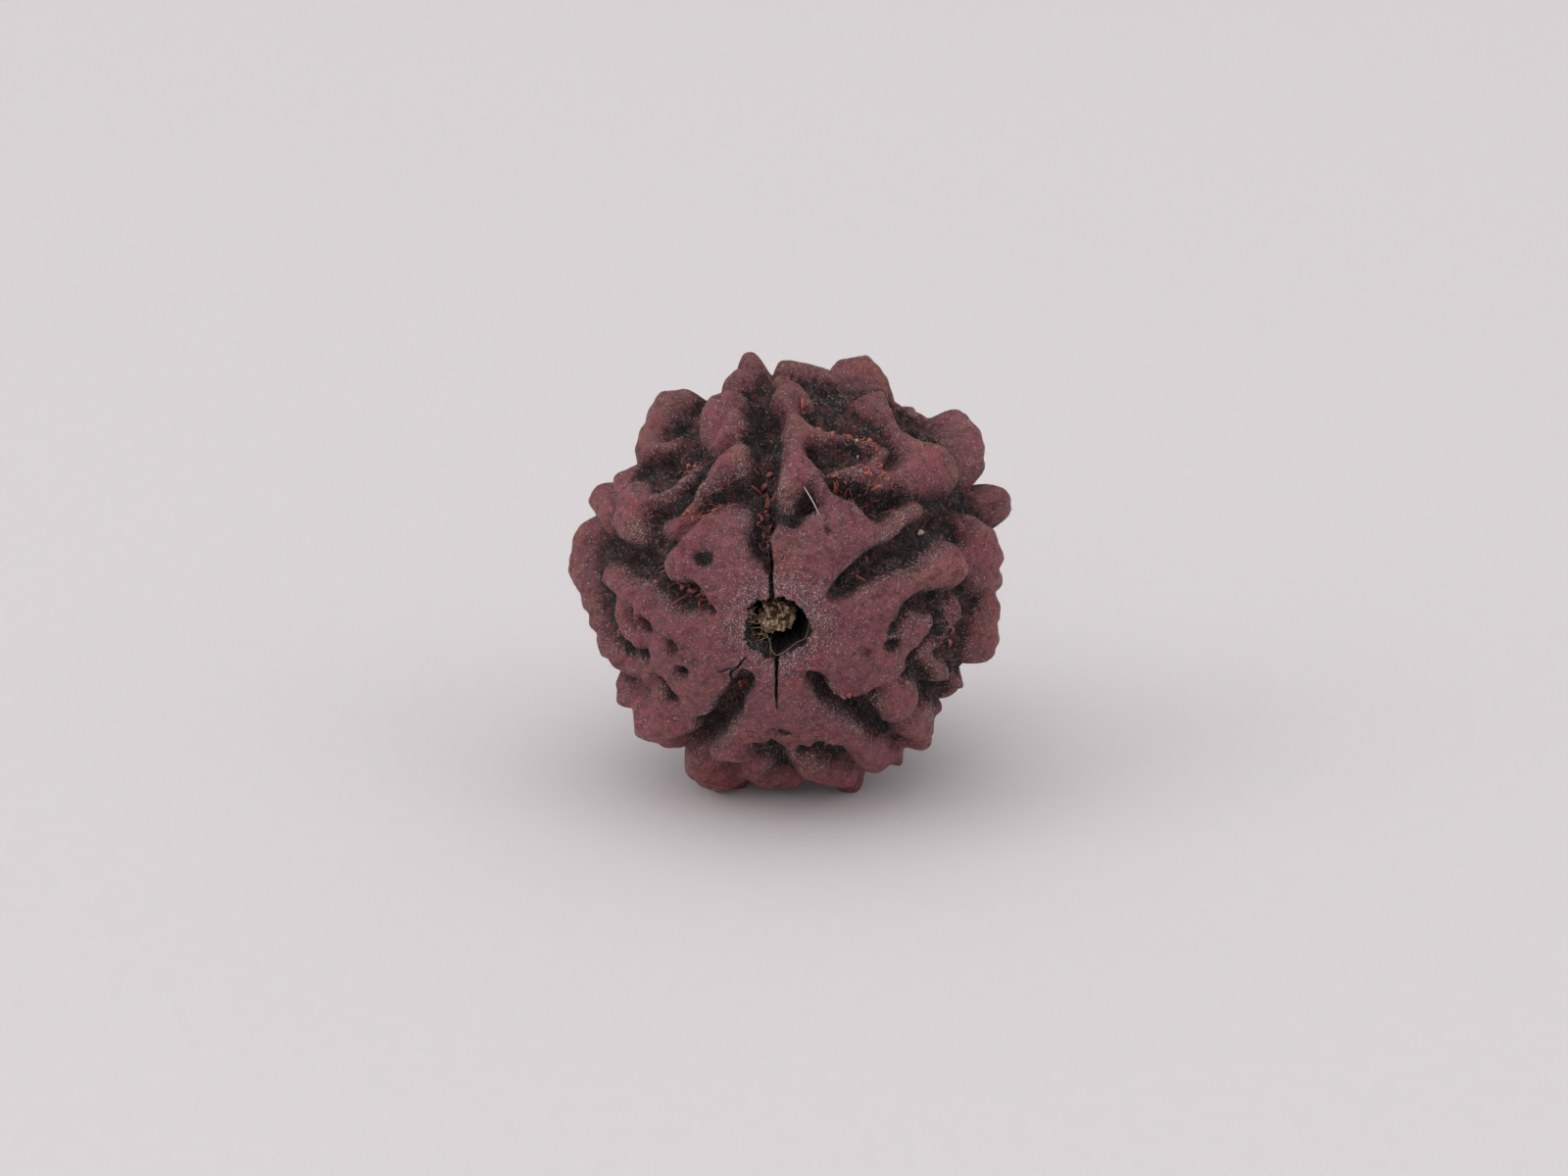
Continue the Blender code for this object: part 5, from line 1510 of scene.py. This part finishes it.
TUFT_BEND = 0.14


def tuft(rng):
    """Short bent fibres at the left edge of the pore."""
    lines = []
    for _ in range(TUFT_COUNT):
        turn = math.radians(rng.uniform(*TUFT_TURN))
        out = np.array([math.cos(turn), math.sin(turn), 0.0])
        start = out * rng.uniform(*TUFT_ROOT) + (0.0, 0.0, PORE_FACE - rng.uniform(0.0, TUFT_DEEPEST))
        reach = rng.normal(size=3) * TUFT_SPREAD - out * rng.uniform(*TUFT_INWARDS)
        bend = rng.normal(size=3) * TUFT_BEND
        lines.append(smooth_line([start, start + reach * 0.5 + bend, start + reach], LINE_STEPS))
    return lines


rng = np.random.default_rng(TUFT_SEED)
strands = [smooth_line(np.array(strand) + (0.0, 0.0, PORE_FACE), LINE_STEPS) for strand in STRANDS]
strand_radii = [STRAND_RADIUS] * len(strands)
strands += tuft(rng)
strand_radii += list(rng.uniform(*TUFT_RADII, TUFT_COUNT))
strand_mesh = tubes("pith_strands", strands, strand_radii, rng.uniform(0.0, 1.0, len(strands)))
pith_strands = show("pith_strands", strand_mesh, plain_fibre("pith_fibre", *STRAND_COLOURS))

# %% [markdown]
# ## Torn red fibres
#
# Along the furrows and in some valleys the skin is torn into pinkish red scraps. They are short bent
# strips, some fine and some chunky, thrown at random over runs where the photograph shows them.

# %% Where the fibres are, as longitude, polar angle, half width and how many to a square millimetre
FRAYED = [
    [(103, 20, 0.3, 8), (101, 27, 0.45, 9), (100, 36, 0.5, 8), (98, 48, 0.4, 3), (98, 62, 0.4, 2)],
    [(171, 22, 0.35, 10), (170, 28, 0.5, 9), (168, 36, 0.5, 6), (165, 46, 0.45, 4)],
    [(110, 38.5, 0.4, 9), (118, 38.8, 0.45, 15), (126, 39.2, 0.45, 15), (133, 39.8, 0.4, 12),
     (139, 40.5, 0.4, 8)],
    [(302, 23, 0.3, 6), (308, 30, 0.5, 7), (315, 33, 0.5, 6)],
    [(30, 26, 0.3, 3), (30, 38, 0.4, 3)],
    [(241, 24, 0.4, 5), (241, 34, 0.4, 4)],
    [(73, 46, 0.35, 7), (64, 45, 0.4, 8), (55, 45, 0.45, 9), (47, 47, 0.4, 7)],
    [(71, 48, 0.4, 6), (60, 50, 0.5, 8), (52, 55, 0.5, 9)],
    [(80, 60, 0.4, 5), (70, 62, 0.5, 7), (60, 64, 0.6, 6)],
    [(88, 68, 0.5, 4), (80, 74, 0.6, 4)],
    [(130, 62, 0.6, 6), (123, 56, 0.5, 5)],
    [(352, 60, 0.8, 3), (340, 60, 0.8, 4)],
    [(188, 62, 0.8, 3), (200, 58, 0.7, 3)],
]
FIBRE_LENGTH = (0.18, 0.55)
FIBRE_RADII = (0.02, 0.045)
ALONG_THE_FURROW = 0.9
CHUNKY_SHARE = 0.5
CHUNKY_SIZE = (1.5, 3.2)
FIBRE_LIFT = 0.1
FIBRE_CURL = 0.3
FIBRE_STEPS = 6
FIBRE_SEED = 95
TORN_COLOURS = ((0.1, 0.027, 0.025), (0.44, 0.15, 0.125))
print("runs of torn skin:", len(FRAYED))

# %% Lines over the stone
RUN_SCATTER = 0.5
LEAST_LIFT = 0.02
ARCH = (0.5, 1.0)


def run_places(rng, run):
    """Random directions over a run, as many as its last numbers ask for, and the way it runs there."""
    places = []
    for (lon, polar, half, often), (lon_2, polar_2, half_2, _) in zip(run, run[1:]):
        start, end = direction([lon, lon_2], [polar, polar_2])
        length = np.linalg.norm(end - start) * MEAN_RADIUS
        for _ in range(int(length * (half + half_2) * often)):
            spot = start + (end - start) * rng.random()
            spot = spot + rng.normal(size=3) * RUN_SCATTER * half / MEAN_RADIUS
            places.append((unit(spot), unit(end - start)))
    return places


def surface_line(rng, spot, way, length, lift, curl, steps):
    """A line over the stone from a place in a direction, bending at random."""
    spots = [spot]
    for _ in range(steps):
        way = way + rng.normal(size=3) * curl
        way = unit(way - spots[-1] * (way @ spots[-1]))
        spots.append(unit(spots[-1] + way * length / steps / MEAN_RADIUS))
    arch = np.sin(np.linspace(0.0, math.pi, steps + 1) * rng.uniform(*ARCH))
    return on_stone(np.array(spots), LEAST_LIFT + abs(rng.normal(0.0, lift)) * arch)


# %% The torn fibres
rng = np.random.default_rng(FIBRE_SEED)
fibres = []
for run in FRAYED:
    for spot, along in run_places(rng, run):
        way = sideways(rng, spot[None])[0] + along * ALONG_THE_FURROW
        length = rng.uniform(*FIBRE_LENGTH)
        fibres.append(surface_line(rng, spot, way, length, FIBRE_LIFT, FIBRE_CURL, FIBRE_STEPS))
fibre_radii = rng.uniform(*FIBRE_RADII, len(fibres))
chunky = rng.random(len(fibres)) < CHUNKY_SHARE
fibre_radii[chunky] *= rng.uniform(*CHUNKY_SIZE, chunky.sum())
fibre_mesh = tubes("red_fibres", fibres, fibre_radii, rng.uniform(0.0, 1.0, len(fibres)))
red_fibres = show("red_fibres", fibre_mesh, plain_fibre("torn_fibre", *TORN_COLOURS))

# %% [markdown]
# ## Lint and dust
#
# Fine pale lint lies on the stone, most of all along the edges of the valleys and round the pore, where
# it gets caught. Nearly all of it is specks under a tenth of a millimetre long. A few hairs are
# longer, and one long pale fibre lies across the upper petal. Crumbs fill the bottom of the valleys.

# %% Where lint is caught
LINT_CHANCE = 0.045
LINT_CHANCE_IN_DUST = 0.12
LINT_CHANCE_BY_THE_PORE = 0.4
DUST_CATCHES = (0.08, 0.45)
DEPTH_CATCHES = (-1.7, -0.9)
PORE_CATCHES = (18.0, 11.0)


def caught(rng, dirs):
    """The directions where lint is caught: often on edges and in valleys, seldom on the tops."""
    in_dust = smooth_step(on_grid(dust_grid, dirs), *DUST_CATCHES)
    in_dust *= smooth_step(on_grid(height_grid, dirs), *DEPTH_CATCHES)
    by_the_pore = smooth_step(angles(dirs)[1], *PORE_CATCHES)
    chance = np.maximum(LINT_CHANCE + LINT_CHANCE_IN_DUST * in_dust, LINT_CHANCE_BY_THE_PORE * by_the_pore)
    return dirs[rng.random(len(dirs)) < chance]


# %% Lint, as how many are tried, length, radius and steps of each; the long fibre as angles and lift
LINT_KINDS = (
    (48000, (0.02, 0.08), (0.008, 0.014), 2),
    (3000, (0.12, 0.35), (0.005, 0.009), 3),
    (500, (0.4, 1.0), (0.005, 0.008), 6),
)
LINT_LIFT = 0.05
LINT_CURL = 0.25
LINT_SEED = 97
LINT_COLOURS = ((0.2, 0.17, 0.16), (0.66, 0.6, 0.57))
LONG_FIBRE = [(80.3, 38.1, 0.3), (77.5, 36.2, 0.32), (73.5, 34.0, 0.22), (69.8, 32.1, 0.06)]
LONG_FIBRE_RADIUS = 0.032

rng = np.random.default_rng(LINT_SEED)
lint = []
lint_radii = []
for tries, lengths, radii, steps in LINT_KINDS:
    lint_spots = caught(rng, scattered(rng, tries))
    for spot, way in zip(lint_spots, sideways(rng, lint_spots)):
        length = rng.uniform(*lengths)
        lint.append(surface_line(rng, spot, way, length, LINT_LIFT, LINT_CURL, steps))
        lint_radii.append(rng.uniform(*radii))
lon, polar, lift = np.array(LONG_FIBRE).T
over_petal = direction(lon, polar)
over_petal *= (outline_radius(over_petal) + lift)[:, None]
lint.append(smooth_line(over_petal, LINE_STEPS))
lint_radii.append(LONG_FIBRE_RADIUS)
lint_tones = rng.uniform(0.0, 1.0, len(lint))
lint_tones[-1] = 1.0
lint_mesh = tubes("lint", lint, lint_radii, lint_tones)
lint_piece = show("lint", lint_mesh, plain_fibre("lint", *LINT_COLOURS))

# %% Crumbs
CRUMB_TRIES = 15000
CRUMB_SEED = 101
CRUMB_SIZE = (0.03, 0.1)
CRUMB_SQUASH = (0.5, 1.2)
CRUMB_CHANCE = 0.7
CRUMB_DEPTHS = (-0.5, -0.9)
CRUMB_LIFT = 0.01
MOSTLY_DARK = 2.5
CRUMB_COLOURS = ((0.014, 0.011, 0.011), (0.19, 0.15, 0.135))


def crumb_mesh(name, places, sizes, tones, rng):
    """Small rough eight-sided grains."""
    shape = np.array([(1, 0, 0), (-1, 0, 0), (0, 1, 0), (0, -1, 0), (0, 0, 1), (0, 0, -1)], float)
    sides = [(0, 2, 4), (2, 1, 4), (1, 3, 4), (3, 0, 4), (2, 0, 5), (1, 2, 5), (3, 1, 5), (0, 3, 5)]
    corners = []
    for place, size in zip(places, sizes):
        turn = np.linalg.qr(rng.normal(size=(3, 3)))[0]
        turn *= np.sign(np.linalg.det(turn))
        corners.append(place + (shape * rng.uniform(*CRUMB_SQUASH, (len(shape), 1))) @ turn * size)
    faces = [[6 * grain + corner for corner in side] for grain in range(len(places)) for side in sides]
    return loose_mesh(name, corners, faces, np.repeat(tones, len(shape)))


rng = np.random.default_rng(CRUMB_SEED)
crumb_spots = scattered(rng, CRUMB_TRIES)
chance = CRUMB_CHANCE * smooth_step(on_grid(height_grid, crumb_spots), *CRUMB_DEPTHS)
crumb_spots = crumb_spots[rng.random(len(chance)) < chance]
crumb_sizes = rng.uniform(*CRUMB_SIZE, len(crumb_spots))
tones = rng.random(len(crumb_spots)) ** MOSTLY_DARK
crumbs = crumb_mesh("valley_crumbs", on_stone(crumb_spots, CRUMB_LIFT), crumb_sizes, tones, rng)
crumb_piece = show("valley_crumbs", crumbs, plain_fibre("crumb", *CRUMB_COLOURS))

# %% Pale grains, as longitude, polar angle and size
PALE_GRAINS = [
    (27.8, 57.0, 0.24), (67.0, 61.0, 0.12), (64.3, 57.5, 0.12), (52.2, 52.0, 0.08), (341.1, 42.0, 0.1),
    (340.0, 43.5, 0.08), (329.9, 16.0, 0.05), (336.0, 52.0, 0.08),
]
GRAIN_SEED = 103
GRAIN_LIFT = 0.6
GRAIN_TONES = (0.4, 1.0)
GRAIN_COLOURS = ((0.3, 0.22, 0.14), (0.6, 0.49, 0.36))

rng = np.random.default_rng(GRAIN_SEED)
lon, polar, grain_sizes = np.array(PALE_GRAINS).T
grain_places = on_stone(direction(lon, polar), GRAIN_LIFT * grain_sizes)
tones = rng.uniform(*GRAIN_TONES, len(grain_sizes))
grains = crumb_mesh("pale_grains", grain_places, grain_sizes, tones, rng)
grain_piece = show("pale_grains", grains, plain_fibre("grain", *GRAIN_COLOURS))
